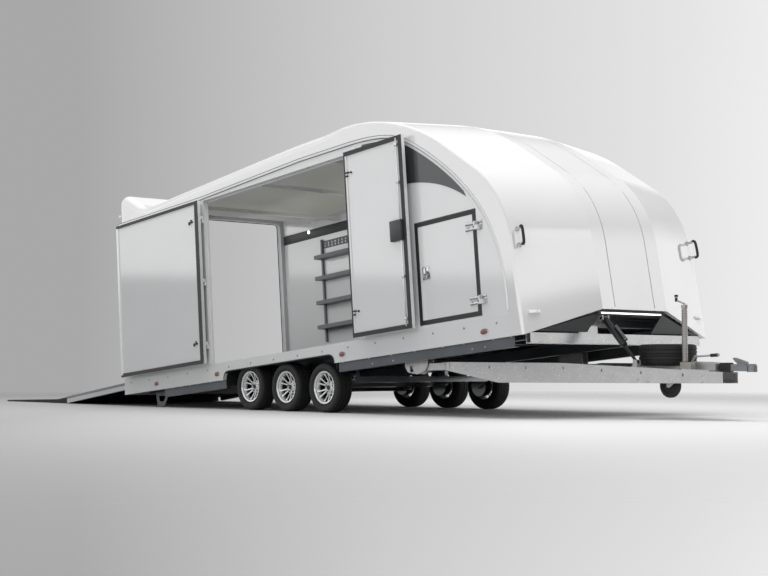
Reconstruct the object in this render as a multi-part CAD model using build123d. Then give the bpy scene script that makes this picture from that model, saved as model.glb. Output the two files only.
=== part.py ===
from build123d import *
import os
from math import atan2, cos, degrees, hypot, radians, sin, tan

# Enclosed car trailer: a tilting box body on three axles, with a hinged V drawbar in front,
# folding side doors, and a ramp with a fold-over flap behind. Millimetres.
#
# Two frames are used. The ground frame has X forward, Y to the left and Z up, with its zero on the
# ground below the middle axle. The bed frame is the body's own: zero at the skirts' lower rear
# corner, X along the floor, tilted nose-up. Every piece is saved with the coupling ball at the origin.

# ---- stance ----
coupling_x = 5100
coupling_z = 445
bed_tilt = 5.13
bed_x = -3309
bed_z = 134

# ---- body ----
body_half = 1275
wall = 30
lip = 12
tail_x = 30
nose_foot_x = 7190
nose_rake = 0.0935
cheek_flat_half = 453
cheek_slope = 0.2798
level_x = (4240, 4560)
nose_lift = 223
roof_level = 2392
skirt_height = 200
floor_thick = 20
crown_edge = 95
cheek_edge = 30
wall_front = 6801
side_cut = (-body_half - 125, -body_half + 175)
beyond = body_half + 125
far_ahead = nose_foot_x + 410

# ---- side doorway and its two doors ----
doorway_rear = 1930
doorway_front = 4712
doorway_top = 2101
door_thick = 40
door_gap = 6
door_seal = 45
door_meeting = 10
door_split = 3801
hinge_out = 30
hinge_in = 18

# ---- locker ----
locker_rear = 5582
locker_front = 6446
locker_low = 225
locker_top = 1223

# ---- rear portal, ramp and flap ----
portal_half = body_half - 85
portal_top = 2310
portal_round = 60
ramp_slope = 7.15
ramp_half = body_half - 40
ramp_length = 2110
ramp_thick = 88
ramp_pivot_x = -24
ramp_pivot_z = 145
ramp_pivot_depth = 12
ramp_start = 16
ramp_hinge_y = (400, 1000)
flap_gap = 14
flap_pivot_rise = 4
flap_hinge_y = (300, 900)
flap_half = ramp_half - 60
flap_length = 1330
flap_thick = 18

# ---- chassis ----
rail_y = (900, 960)
rail_low = -10
rail_end = 6889.7
rail_thick = 6
bearer_low = 110
edge_y = (body_half - 90, body_half - 35)
edge_low = -95
edge_rear = (880, 2200)
edge_front = (4260, 6800)

# ---- wheels and axles ----
axle_spacing = 668
tyre_r = 260
tyre_width = 195
bead_r = 166
wheel_y = body_half - 135
beam_drop = -160
beam_size = 60

# ---- drawbar ----
hinge_x = 2150
hinge_z = 470
arm_rear = (2440, 1100)
arm_front = (4860, 80)
arm_width = 60
arm_low = 324
spare_x = 4185
spare_z = 478
jockey_x = 4490
jockey_y = -140
jockey_trail = 165
jockey_wheel_r = 112
jockey_wheel_z = 305

# ---- ram ----
ram_y = -350
ram_top = (7084, 150)
ram_foot = (4115, 515)

WORLD = Location((-coupling_x, 0, -coupling_z))
BED = WORLD * Location((bed_x, 0, bed_z), (0, -bed_tilt, 0))

inner_half = body_half - wall
floor_top = skirt_height
floor_low = floor_top - floor_thick

os.makedirs("parts", exist_ok=True)


def save(node, place, *solids):
    """Writes one piece, placed in the trailer's frame."""
    shape = solids[0] if len(solids) == 1 else Compound(children=list(solids))
    export_step(place * shape, f"parts/{node}.step")


def block(x, y, z):
    """A box from its three ranges."""
    size = [b - a for a, b in (x, y, z)]
    return Pos(x[0], y[0], z[0]) * Box(*size, align=(Align.MIN, Align.MIN, Align.MIN))


def side_plate(points, y0, y1):
    """A plate with the given side view, from y0 to y1."""
    face = make_face(Polyline(*points, close=True))
    return extrude(Plane.XZ.offset(-y1) * face, amount=y1 - y0)


def rod(p, q, r):
    """A round bar from p to q."""
    start, end = Vector(*p), Vector(*q)
    return Plane(origin=start, z_dir=end - start) * Cylinder(
        r, (end - start).length, align=(Align.CENTER, Align.CENTER, Align.MIN))


def across(x, z, y0, y1, r):
    """A round bar across the trailer."""
    return rod((x, y0, z), (x, y1, z), r)


def link(p, q, r, y0, y1):
    """A bar with round ends between two points of the side view."""
    length = hypot(q[0] - p[0], q[1] - p[1])
    slot = SlotCenterToCenter(length, 2 * r)
    middle = ((p[0] + q[0]) / 2, (p[1] + q[1]) / 2)
    face = Pos(*middle) * Rot(0, 0, degrees(atan2(q[1] - p[1], q[0] - p[0]))) * slot
    return extrude(Plane.XZ.offset(-y1) * face, amount=y1 - y0)


def both_sides(shape):
    return [shape, mirror(shape, Plane.XZ)]


def bed_to_ground(x, z):
    c, s = cos(radians(bed_tilt)), sin(radians(bed_tilt))
    return bed_x + x * c - z * s, bed_z + x * s + z * c


def ground_to_bed(x, z):
    c, s = cos(radians(bed_tilt)), sin(radians(bed_tilt))
    return (x - bed_x) * c + (z - bed_z) * s, -(x - bed_x) * s + (z - bed_z) * c


# ---------------------------------------------------------------- body shell

def side_outline(inset):
    """Side view of the body: raked nose, long roof, dip and raised tail."""
    deep = -500
    corners = [
        (tail_x, deep),
        (nose_foot_x - nose_rake * deep, deep),
        (7066, 1323),
        (5650, roof_level),
        (3800, roof_level),
        (600, 2252),
        (tail_x, 2560),
    ]
    rounds = [(2, 1050), (3, 2500), (4, 20000), (5, 600), (6, 112)]
    face = make_face(Polyline(*corners, close=True))
    for index, radius in rounds:
        corner = face.vertices().sort_by_distance((*corners[index], 0))[0]
        face = fillet(corner, radius)
    return offset(face, amount=-inset) if inset else face


def body_form(inset):
    """The whole body as one solid: straight behind, with its nose swept back over both cheeks."""
    half = body_half + lip - inset
    rounds = [max(edge - inset, 6) for edge in (crown_edge, cheek_edge)]
    outline = side_outline(inset)
    tail = extrude(Plane.XZ.offset(-half) * outline, amount=2 * half)
    tail -= block((level_x[0], far_ahead), (-beyond, beyond), (-600, 3000))
    nose = extrude(Plane.XZ.offset(-cheek_flat_half) * outline, amount=2 * cheek_flat_half)
    reach = half - cheek_flat_half
    for sign in (1, -1):
        face = Plane.XZ.offset(-sign * cheek_flat_half) * outline
        nose += Solid.extrude(face.faces()[0], Vector(-cheek_slope * reach, sign * reach, 0))
    nose -= block((-1500, level_x[1]), (-beyond, beyond), (-600, 3000))

    def on_shoulder(edge):
        box = edge.bounding_box()
        outer = box.size.Y < 1 and abs(abs(box.max.Y) - half) < 1
        return outer and box.max.Z > 1 and box.size.X > 1 and box.max.X > tail_x + inset + 1

    tail = fillet(tail.edges().filter_by(on_shoulder), rounds[0])
    nose = fillet(nose.edges().filter_by(on_shoulder), rounds[1])
    low, high = -500 + inset, roof_level - inset
    ends = []
    for x, radius in zip(level_x, rounds):
        section = Pos(0, (low + high) / 2) * Rectangle(2 * half, high - low)
        ends.append(Plane.YZ.offset(x) * fillet(section.vertices().group_by(Axis.Y)[-1], radius))
    return tail + loft(ends) + nose


def wall_zone(x0, z0):
    """Side view of the flat wall inside the roof moulding's edge."""
    front = Spline([(wall_front, 234), (6510, 1257), (5740, 1952), (4700, 2216)], tangents=[(0, 1), (-1, 0.02)])
    top = Polyline((4700, 2216), (3828, 2218), (1873, 2153), (x0, 2150))
    rest = Polyline((x0, 2150), (x0, z0), (wall_front, z0), (wall_front, 234))
    return make_face([front, top, rest])


outer_form = body_form(0)
inner_form = body_form(lip + wall)


def roof_shell():
    """Roof, tail and nose in one glass-fibre moulding."""
    shell = outer_form - inner_form - block((-200, far_ahead), (-beyond, beyond), (-700, 0))
    shell -= extrude(Plane.XZ.offset(-beyond) * wall_zone(-200, -100), amount=2 * beyond)
    under_nose = Polyline((-beyond, -34), (-cheek_flat_half, nose_lift), (cheek_flat_half, nose_lift),
                          (beyond, -34), (beyond, -300), (-beyond, -300), close=True)
    shell -= Pos(6200, 0, 0) * extrude(Plane.YZ * make_face(under_nose), amount=1400)
    shell -= block((-10, 90), (-inner_half, inner_half), (0, portal_top + 40))
    return shell


def wall_panel(sign):
    """One flat side wall, before any doorway is cut."""
    face = wall_zone(0, skirt_height)
    plate = extrude(Plane.XZ.offset(-body_half) * face, amount=wall)
    return plate if sign > 0 else mirror(plate, Plane.XZ)


def right_walls():
    panel = wall_panel(-1)
    jamb = 35
    gone = block((doorway_rear - jamb, doorway_front + jamb), side_cut, (0, 2400))
    locker = block((locker_rear, locker_front), side_cut, (locker_low, locker_top))
    rear = panel & block((-10, doorway_rear - jamb), side_cut, (0, 2400))
    front = panel & block((doorway_front + jamb, 7000), side_cut, (0, 2400))
    frame = panel & gone
    frame -= block((doorway_rear, doorway_front), side_cut, (0, doorway_top))
    stop_y = (-body_half + door_thick + door_gap, -body_half + door_thick + door_gap + 12)
    stop = block((doorway_rear - jamb, doorway_front + jamb), stop_y, (skirt_height + 5, doorway_top + 50))
    stop -= block((doorway_rear + 20, doorway_front - 20), side_cut, (0, doorway_top - 20))
    web = block((doorway_rear - jamb, doorway_front + jamb), (-inner_half, stop_y[1]),
                (skirt_height + 5, doorway_top + 50))
    web -= block((doorway_rear, doorway_front), side_cut, (0, doorway_top))
    return rear, front - locker, frame + stop + web


def skirts():
    arch = fillet(Rectangle(2010, 180).vertices().group_by(Axis.Y)[-1], 80)
    face = Pos(wall_front / 2, skirt_height / 2) * Rectangle(wall_front, skirt_height) - Pos(3215, 0) * arch
    return both_sides(extrude(Plane.XZ.offset(-body_half) * face, amount=wall))


def rear_frame():
    frame = block((0, 60), (-inner_half + 0.5, inner_half - 0.5), (0, portal_top + 39))
    height = portal_top - floor_top
    hole = fillet(Rectangle(2 * portal_half, height).vertices().group_by(Axis.Y)[-1], portal_round)
    cut = Plane.YZ.offset(-10) * (Pos(0, floor_top + height / 2) * hole)
    frame -= extrude(cut, amount=100)
    for y in ramp_hinge_y:
        for near in (y - 23, y + 17):
            lug = block((ramp_pivot_x, 0.5), (near, near + 6), (ramp_pivot_z - 11, ramp_pivot_z + 11))
            lug += across(ramp_pivot_x, ramp_pivot_z, near, near + 6, 11)
            for side in both_sides(lug):
                frame += side
        for side in both_sides(across(ramp_pivot_x, ramp_pivot_z, y - 23, y + 23, 6)):
            frame += side
    return frame


def roof_line(x):
    """Height of the roof's top on the long slope and on the level stretch."""
    return min(2252 + (x - 600) * (roof_level - 2252) / 3200, roof_level)


def roof_beams():
    beams = []
    for x in (1300, 2500, 3700, 4850):
        z = roof_line(x) - lip - wall - 97
        beams.append(block((x - 20, x + 20), (-inner_half + 0.3, inner_half - 0.3), (z, z + 40)))
    return beams


def side_rack():
    """Tool rack on the left wall: two posts, a perforated strip and four shelves."""
    back = inner_half - 0.3
    rack = block((900, 930), (back - 30, back), (600, 1950)) + block((1820, 1850), (back - 30, back), (600, 1950))
    strip = block((900, 1850), (back - 6, back), (1830, 1930))
    for column in range(12):
        for row in range(2):
            strip -= block((950 + 72 * column, 980 + 72 * column), (back - 20, back + 1),
                           (1848 + 36 * row, 1872 + 36 * row))
    rack += strip
    for z in (760, 1080, 1400, 1680):
        rack += block((900, 1850), (back - 150, back), (z, z + 18))
        rack += block((900, 1850), (back - 150, back - 142), (z, z + 50))
    return rack


def nose_underside():
    """Nose floor and the two sloping panels that close the cheeks from below."""
    floor = inner_form & block((wall_front, far_ahead), (-beyond, beyond), (floor_top, nose_lift))
    a, b, c = (7112, -450, 196), (6957.6, -1100, 34), (6957.6, -450, 34)
    panel = extrude(make_face(Polyline(a, b, c, close=True)), amount=10, dir=(-0.7, 0, 0.7))
    return [floor] + both_sides(panel)


# ---------------------------------------------------------------- chassis

def channel(x, y, z, thick, open_side):
    """A folded channel along X, open to +Y or -Y."""
    bar = block(x, y, z)
    y_in = (y[0] + thick, y[1] + 1) if open_side > 0 else (y[0] - 1, y[1] - thick)
    return bar - block((x[0] - 1, x[1] + 1), y_in, (z[0] + thick, z[1] - thick))


def chassis_rails():
    """Two main rails, and the deep edge rails before and behind the wheels."""
    rails = both_sides(channel((60.3, rail_end), rail_y, (rail_low, bearer_low), rail_thick, -1))
    for x in (edge_rear, edge_front):
        rails += both_sides(channel(x, edge_y, (edge_low, floor_low), rail_thick, -1))
    return rails


def cross_bearers():
    """Bearers under the floor, across the main rails."""
    bearers = []
    for x in (400, 1250, 2120, 2700, 3460, 3900, 4290, 5150, 6000, 6700):
        over_wheels = edge_rear[1] < x < edge_front[0]
        half = rail_y[1] + 60 if over_wheels else edge_y[0] - 0.3
        bearers.append(block((x, x + 50), (-half, half), (bearer_low, floor_low)))
    return bearers


def hinge_bracket():
    """Clevis under the floor that carries the drawbar's pivot pin."""
    y_mid = arm_rear[1]
    pin_x, pin_z = ground_to_bed(hinge_x, hinge_z)
    back, ahead = pin_x - 290, pin_x + 40
    outline = make_face(Polyline((back, bearer_low), (ahead, bearer_low), (ahead, pin_z + 20),
                                 (pin_x, pin_z - 36), (pin_x - 110, pin_z - 62), (pin_x - 250, pin_z - 30),
                                 (back, pin_z + 30), close=True))
    outline = fillet(outline.vertices().filter_by(lambda v: v.Y < 0), 18)
    outline -= Pos(pin_x - 190, pin_z) * Rectangle(50, 60)
    bracket = across(pin_x, pin_z, y_mid - 45, y_mid + 45, 15)
    for y in (y_mid - 45, y_mid + 37):
        bracket += extrude(Plane.XZ.offset(-(y + 8)) * outline, amount=8)
    return bracket + block((back, ahead), (y_mid - 45, y_mid + 45), (bearer_low - 12, bearer_low))


def front_crossmember():
    """Channel across the front, with the gusset and clevis that hold the ram's top."""
    beam = block((6890, 6950), (-1190, 1190), (-75, 20))
    beam -= block((6800, 6944), (-1200, 1200), (-69, 14))
    beam += block((6890, 6896), (-1190, 1190), (-75, 20))
    gusset = make_face(Polyline((-580, 19), (-390, 145), (-300, 145), (-300, 19), close=True))
    beam += Pos(6940, 0, 0) * extrude(Plane.YZ * gusset, amount=10)
    x, z = ram_top
    ear = side_plate([(6949, z - 60), (x - 10, z - 28), (x + 24, z - 16), (x + 24, z + 26),
                      (x - 20, z + 28), (6949, z - 5)], 0, 8)
    ear -= across(x, z, -1, 9, 12.05)
    beam += Pos(0, ram_y - 44, 0) * ear + Pos(0, ram_y + 36, 0) * ear
    return beam


def steady_leg():
    """Rear prop: a pierced bracket from the main rail down to a foot on the ground."""
    x, y = -2700, 1100
    tilt = radians(bed_tilt)
    top = [bed_z + (x + dx - bed_x) * tan(tilt) + (rail_low - 0.3) / cos(tilt) for dx in (-160, 160)]
    web = side_plate([(x - 115, 8), (x + 45, 8), (x + 160, top[1]), (x - 160, top[0])], y - 4, y + 4)
    web -= side_plate([(x - 70, 60), (x + 20, 60), (x + 75, 130), (x - 90, 130)], y - 5, y + 5)
    flange = side_plate([(x - 160, top[0] - 6), (x + 160, top[1] - 6), (x + 160, top[1]), (x - 160, top[0])],
                        rail_y[0] + 5, y + 40)
    foot = block((x - 125, x + 55), (y - 40, y + 40), (0.2, 8))
    return web + flange + foot


def wheel_box():
    """Splash plates over the three wheels and at both ends of the arch."""
    y = (rail_y[1] + 62, inner_half - 0.3)
    x0, x1 = edge_rear[1] + 3, edge_front[0] - 33
    box = block((x0, x1), y, (158, 164))
    for x in (x0, x1 - 6):
        box += block((x, x + 6), y, (-60, floor_low - 0.3))
    return box


# ---------------------------------------------------------------- axles and wheels

def axle(wheel_x):
    """Torsion axle: cross beam, two mounting brackets, trailing arms, drums and stub shafts."""
    hub = ground_to_bed(wheel_x, tyre_r)
    beam = (hub[0] + 142, beam_drop)
    half = beam_size / 2
    shape = block((beam[0] - half, beam[0] + half), (-960, 960), (beam[1] - half, beam[1] + half))
    for side in both_sides(block((beam[0] - 60, beam[0] + 60), (905, 955), (beam[1], rail_low - 0.3))):
        shape += side
    arm = link(beam, hub, 30, 959, 990)
    drum = across(*hub, 985, 1075, 115) + across(*hub, 1070, 1134, 32) + across(*hub, 1130, 1156, 20)
    for side in both_sides(arm + drum):
        shape += side
    return shape


def tyre():
    """Tyre section turned about the wheel's axis, which is Y."""
    half = tyre_width / 2
    right = [(bead_r, 80), (bead_r + 14, 80), (204, half), (228, half), (249, half - 8), (tyre_r, half - 26)]
    points = [(r, -y) for r, y in right] + [(r, y) for r, y in reversed(right)]
    face = make_face(Polyline(*points, close=True))
    face = fillet(face.vertices().filter_by(lambda v: v.X in (204, 228, 249)), 9)
    return revolve(face, Axis.Y)


def rim():
    """Deep-dished alloy rim with six pairs of spokes; the dish faces +Y."""
    seat = bead_r - 0.3
    barrel = make_face(Polyline((seat - 12, -82), (seat, -82), (seat, 82), (seat - 12, 82),
                                (seat - 12, 60), (seat - 22, 40), (seat - 22, -40), (seat - 12, -60),
                                close=True))
    flange = Pos(seat + 1, 84.5) * Rectangle(14, 8.4)
    barrel += flange
    barrel += mirror(flange, Plane.XZ)
    disc = make_face(Polyline((20.05, -4), (56, -4), (seat - 14, 44), (seat - 14, 60), (56, 18),
                              (20.05, 18), close=True))
    body = revolve(barrel, Axis.Y) + revolve(disc, Axis.Y)
    wide = make_face(Polyline((64, -12), (136, -27), (136, 27), (64, 12), close=True))
    narrow = make_face(Polyline((82, -2), (136, -9), (136, 9), (82, 2), close=True))
    for turn in range(6):
        for shape, angle in ((wide, 60 * turn), (narrow, 60 * turn + 30)):
            body -= extrude(Plane.XZ.offset(10) * (Rot(0, 0, angle) * shape), amount=-90)
    return body + across(0, 0, 18, 30, 31)


# ---------------------------------------------------------------- drawbar

def arm_y(x):
    """Centre line of a drawbar arm in plan."""
    return arm_rear[1] + (x - arm_rear[0]) * (arm_front[1] - arm_rear[1]) / (arm_front[0] - arm_rear[0])


def arm_top(x):
    """Top edge of the drawbar arms: level at the rear, then falling to the front."""
    knee = 3500
    return 517 - 12 * (x - arm_rear[0]) / (knee - arm_rear[0]) if x < knee else 505 - 82 * (x - knee) / 1360


def drawbar_arm(side):
    """Folded channel that tapers towards the hinge, with a cast eye at its end."""
    dx, dy = arm_front[0] - arm_rear[0], arm_front[1] - arm_rear[1]
    length = hypot(dx, dy)
    ratio = length / dx
    outline = [(0, 436), (480 * ratio, arm_low), (length, arm_low), (length, arm_top(arm_front[0])),
               (1060 * ratio, arm_top(3500)), (0, arm_top(arm_rear[0]))]
    hollow = [(-10, 442), (478 * ratio, arm_low + 6), (length + 10, arm_low + 6),
              (length + 10, arm_top(arm_front[0]) - 6), (1060 * ratio, arm_top(3500) - 6), (-10, 511)]
    half = arm_width / 2
    beam = side_plate(outline, -half, half) - side_plate(hollow, -half + 6, half + 10)
    turn = degrees(atan2(dy, dx))
    placed = Pos(arm_rear[0], arm_rear[1], 0) * Rot(0, 0, turn) * mirror(beam, Plane.XZ)
    y = arm_rear[1]
    eye = link((hinge_x, hinge_z), (hinge_x + 240, hinge_z + 4), 34, y - 27, y + 27)
    eye += block((hinge_x + 230, arm_rear[0] + 40), (y - 26, y + 22), (hinge_z - 31, hinge_z + 44))
    eye -= across(hinge_x, hinge_z, y - 50, y + 50, 15.05)
    whole = placed + eye
    return whole if side > 0 else mirror(whole, Plane.XZ)


def drawbar_frame():
    frame = drawbar_arm(1) + drawbar_arm(-1)
    cross_y = arm_y(3030) + arm_width / 2
    frame += block((2970, 3030), (-cross_y, cross_y), (400, 460))
    x = ram_foot[0]
    rest_y = arm_y(x) - 6
    frame += block((x - 30, x + 30), (-rest_y, rest_y), (400, spare_z - 0.3))
    for y in (ram_y - 28, ram_y + 18):
        ear = side_plate([(x - 28, spare_z - 1), (x + 28, spare_z - 1), (x + 20, ram_foot[1] + 18),
                          (x - 20, ram_foot[1] + 18)], y, y + 10)
        frame += ear
    plate = make_face(Polyline((4530, -arm_y(4530) - 20), (4755, -arm_y(4755) - 20),
                               (4755, arm_y(4755) + 20), (4530, arm_y(4530) + 20), close=True))
    slab = side_plate([(4530, arm_top(4530) - 2), (4755, arm_top(4755) - 2), (4755, arm_top(4755) + 8),
                       (4530, arm_top(4530) + 8)], -400, 400)
    frame += slab & extrude(plate, amount=1000)
    return frame


def overrun_unit():
    """Cast housing on the plate, with the bellows over its sliding shaft."""
    z = [arm_top(x) + 8.3 for x in (4540, 4755)]
    housing = side_plate([(4540, z[0]), (4755, z[1]), (4755, 500), (4720, 512), (4490, 518), (4475, 500),
                          (4475, z[0] + 10), (4540, z[0] + 6)], -55, 55)
    housing = fillet(housing.edges().filter_by(Axis.X, tolerance=8).sort_by(Axis.Z)[-2:], 14)
    rings = [(0, 4755.3)]
    for step in range(6):
        x = 4766 + step * 22
        rings += [(34, x), (44, x + 11)]
    rings += [(34, 4898), (0, 4898)]
    bellows = revolve(make_face(Polyline(*rings, close=True)), Axis.Y)
    bellows = Pos(0, 0, 462) * Rot(0, 0, -90) * bellows
    return housing, bellows


def coupling_head():
    """Socket for the tow ball, with its neck and release handle."""
    low, high = coupling_z - 22, coupling_z + 48
    neck = side_plate([(4898.3, 432), (5075, 428), (5075, 482), (5000, 494), (4898.3, 490)], -30, 30)
    head = rod((coupling_x, 0, low), (coupling_x, 0, high), 44)
    head = fillet(head.edges().sort_by(Axis.Z)[-1], 20)
    body = neck + head
    body -= rod((coupling_x, 0, low - 1), (coupling_x, 0, coupling_z + 2), 25.2)
    body -= Pos(coupling_x, 0, coupling_z + 2) * Sphere(25.2)
    handle = side_plate([(4960, 490), (5060, 488), (5050, 512), (4930, 548), (4905, 544), (4925, 520)], -14, 14)
    return body + handle


def handbrake_lever():
    lever = link((4500, 500), (4540, 560), 9, -70, -62)
    lever += rod((4540, -66, 560), (4790, -66, 572), 9)
    lever += rod((4720, -66, 568.6), (4800, -66, 572.5), 14)
    return lever + across(4500, 500, -70, -55.3, 14)


def jockey_post():
    """Outer tube of the jockey stand, its clamp on the front plate, and the crank on top."""
    x, y = jockey_x, jockey_y
    clamp = [(x - 32, 452), (4530, arm_top(4530) + 8.3), (x + 90, arm_top(x + 90) + 8.3), (x + 90, 496),
             (x + 70, 510), (x - 32, 510)]
    post = rod((x, y, 446), (x, y, 1000), 24) + side_plate(clamp, y - 30, y + 30)
    post -= rod((x, y, 440), (x, y, 820), 20.05)
    post += rod((x, y, 990), (x, y, 1018), 29)
    post += rod((x, y, 1000), (x, y, 1034), 8)
    post += rod((x, y, 1028), (x - 90, y, 1062), 7)
    post += rod((x - 90, y, 1056), (x - 90, y, 1094), 9)
    return post + Pos(x - 90, y, 1094) * Sphere(16)


def jockey_fork():
    """Inner tube with the wheel's fork, wound up off the ground."""
    x, y, low = jockey_x, jockey_y, jockey_wheel_z
    wheel_x = x - jockey_trail
    fork = rod((x, y, low + 125), (x, y, 805), 20)
    fork += block((x - 70, x + 26), (y - 39, y + 39), (low + 124, low + 136))
    for cheek in (y - 39, y + 33):
        fork += side_plate([(x - 70, low + 136), (x + 26, low + 136), (x + 10, low + 93), (wheel_x + 20, low - 20),
                            (wheel_x - 12, low - 18), (wheel_x - 14, low + 12)], cheek, cheek + 6)
    return fork + across(wheel_x, low, y - 44, y + 44, 10)


def jockey_wheel():
    half = 27
    face = make_face(Polyline((10.05, -half), (34, -half), (36, -14), (70, -14), (76, -24), (100, -25),
                              (jockey_wheel_r - 0.2, -12), (jockey_wheel_r - 0.2, 12), (100, 25), (76, 24),
                              (70, 14), (36, 14), (34, half), (10.05, half), close=True))
    return Pos(jockey_x - jockey_trail, jockey_y, jockey_wheel_z) * revolve(face, Axis.Y)


# ---------------------------------------------------------------- tilting ram

def ram_parts():
    """Barrel pinned to the body and rod that reaches the drawbar's clevis."""
    top = bed_to_ground(*ram_top)
    dx, dz = ram_foot[0] - top[0], ram_foot[1] - top[1]
    length = hypot(dx, dz)
    along = Location((top[0], ram_y, top[1]), (0, degrees(atan2(dx, dz)), 0))
    barrel = rod((0, 0, 20), (0, 0, 350), 31) - rod((0, 0, 60), (0, 0, 351), 14.1)
    barrel += rod((0, -24, 0), (0, 24, 0), 26)
    barrel += rod((0, -44, 0), (0, 44, 0), 12)
    barrel += rod((-49, 0, 150), (-49, 0, 330), 15) + block((-48, -25), (-10, 10), (160, 185))
    barrel += block((-48, -25), (-10, 10), (300, 325))
    stem = rod((0, 0, 215), (0, 0, length - 10), 14) + rod((0, -15, length), (0, 15, length), 18)
    return along * barrel, along * stem


# ---------------------------------------------------------------- doors

def knuckle(axis_x, leaf, z, moving):
    """Half of one strap hinge; leaf is the direction of the closed door from the axis."""
    low, high = (z + 0.5, z + 40) if moving else (z - 40, z - 0.5)
    y = -body_half - hinge_out
    barrel = rod((axis_x, y, low), (axis_x, y, high), 9)
    if moving:
        reach = sorted((axis_x, axis_x + 46 * leaf))
        strap = block(reach, (y + 22, y + hinge_out), (low, high))
        return barrel + strap + block((axis_x - 6, axis_x + 6), (y + 4, y + 26), (low, high))
    reach = sorted((axis_x - hinge_in * leaf, axis_x - (hinge_in + 24) * leaf))
    foot = block(reach, (y - 6, y + hinge_out), (low, high))
    bridge = sorted((axis_x - (hinge_in + 2) * leaf, axis_x - 5 * leaf))
    return barrel + foot + block(bridge, (y - 6, y + 6), (low, high))


def door_leaf(x0, x1, z0, z1, band):
    """Closed door: flat outer skin and a raised seal band round its inner face."""
    leaf = block((x0, x1), (-body_half, -body_half + door_thick - 8), (z0, z1))
    ring = block((x0, x1), (-body_half + door_thick - 9, -body_half + door_thick), (z0, z1))
    return leaf + ring - block((x0 + band, x1 - band), (-body_half + door_thick - 8, -1100),
                               (z0 + band, z1 - band))


def folded(shape, axis_x):
    """A closed door swung half a turn, flat against the outside of the wall."""
    spin = Pos(axis_x, -body_half - hinge_out, 0) * Rot(0, 0, 180) * Pos(-axis_x, body_half + hinge_out, 0)
    return spin * shape


hinge_heights = (420, 1150, 1880)
rear_axis = doorway_rear + hinge_in
front_axis = doorway_front - hinge_in
locker_axis = locker_front + 6
locker_hinges = (373, 1060)


def rear_side_door():
    leaf = door_leaf(doorway_rear + door_gap, door_split - door_meeting / 2, skirt_height + 8,
                     doorway_top - door_gap, door_seal)
    for z in hinge_heights:
        leaf += knuckle(rear_axis, 1, z, True)
    return folded(leaf, rear_axis)


def front_side_door():
    leaf = door_leaf(door_split + door_meeting / 2, doorway_front - door_gap, skirt_height + 8,
                     doorway_top - door_gap, door_seal)
    for z in hinge_heights:
        leaf += knuckle(front_axis, -1, z, True)
    return folded(leaf, front_axis)


def side_door_lock():
    """Two lock rods with guides and a lock box on the inner face of the front door."""
    y = -body_half + door_thick - 7.7
    x = door_split + 80
    lock = rod((x, y + 15, skirt_height + 20), (x, y + 15, doorway_top - 20), 6)
    lock += block((x - 26, x + 142), (y, y + 34), (1068, 1268))
    for z in (290, 700, 1620, 1990):
        lock += block((x - 16, x + 16), (y, y + 23), (z, z + 30))
    return folded(lock, front_axis)


def locker_door():
    gap = door_gap
    leaf = block((locker_rear + gap, locker_front - gap), (-body_half, -inner_half),
                 (locker_low + gap, locker_top - gap))
    for z in locker_hinges:
        leaf += knuckle(locker_axis, -1, z, True)
    return leaf


# ---------------------------------------------------------------- ramp

def ramp_place():
    """Frame at the ramp's hinge: X down along the deck, Z out of the deck."""
    x, z = bed_to_ground(ramp_pivot_x, ramp_pivot_z)
    return WORLD * Location((x, 0, z)) * Rot(0, -ramp_slope, 0) * Rot(0, 0, 180)


def ramp_pieces():
    top, low = ramp_pivot_depth, ramp_pivot_depth - ramp_thick
    slope = radians(ramp_slope)
    height = bed_to_ground(ramp_pivot_x, ramp_pivot_z)[1] - 0.3
    reach = (height + low * cos(slope)) / sin(slope)
    end_low = (height - ramp_length * sin(slope)) / cos(slope)
    end = reach - 48
    rail = [(ramp_start, low), (end - 12, low), (end, low + 14), (end, top), (ramp_start, top)]
    rails = both_sides(side_plate(rail, ramp_half - 45, ramp_half))
    deck = side_plate([(ramp_start, top - 36), (reach, top - 36), (reach, low + 2), (ramp_length, -end_low),
                       (ramp_length, top), (ramp_start, top)], -ramp_half + 45.3, ramp_half - 45.3)
    pivot = (ramp_length + flap_gap / 2, top + flap_pivot_rise)
    for y in ramp_hinge_y:
        eye = link((0, 0), (ramp_start + 6, 0), 10, y - 15, y + 15)
        eye -= across(0, 0, y - 20, y + 20, 6.05)
        for side in both_sides(eye):
            deck += side
    for y in flap_hinge_y:
        lugs = across(*pivot, y - 45, y + 45, 3)
        for near in (y - 45, y + 22):
            lugs += link((ramp_length - 9, top - 4), pivot, 6, near, near + 23)
        for side in both_sides(lugs):
            deck += side
    return rails, deck


def flap_pivot():
    """The flap's hinge line on the side view of the ground frame."""
    x, z = bed_to_ground(ramp_pivot_x, ramp_pivot_z)
    slope = radians(ramp_slope)
    along, out = ramp_length + flap_gap / 2, ramp_pivot_depth + flap_pivot_rise
    return x - along * cos(slope) - out * sin(slope), z - along * sin(slope) + out * cos(slope)


def ramp_flap():
    x, z = flap_pivot()
    edge = x - flap_gap / 2
    flap = block((edge - flap_length, edge), (-flap_half, flap_half), (0.3, flap_thick))
    for y in flap_hinge_y:
        eye = link((edge - 16, flap_thick - 6), (x, z), 6, y - 21, y + 21) - across(x, z, y - 22, y + 22, 3.05)
        for side in both_sides(eye):
            flap += side
    return flap


# ---------------------------------------------------------------- small fittings

def cheek_place(y, z, lean):
    """Frame on the right cheek at a distance y from the middle: X across it, Y up it, Z out of it."""
    x = nose_foot_x - nose_rake * z - cheek_slope * (y - cheek_flat_half)
    return Plane((x, -y, z), x_dir=(cheek_slope, 1, 0), z_dir=(1, -cheek_slope, lean))


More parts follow.
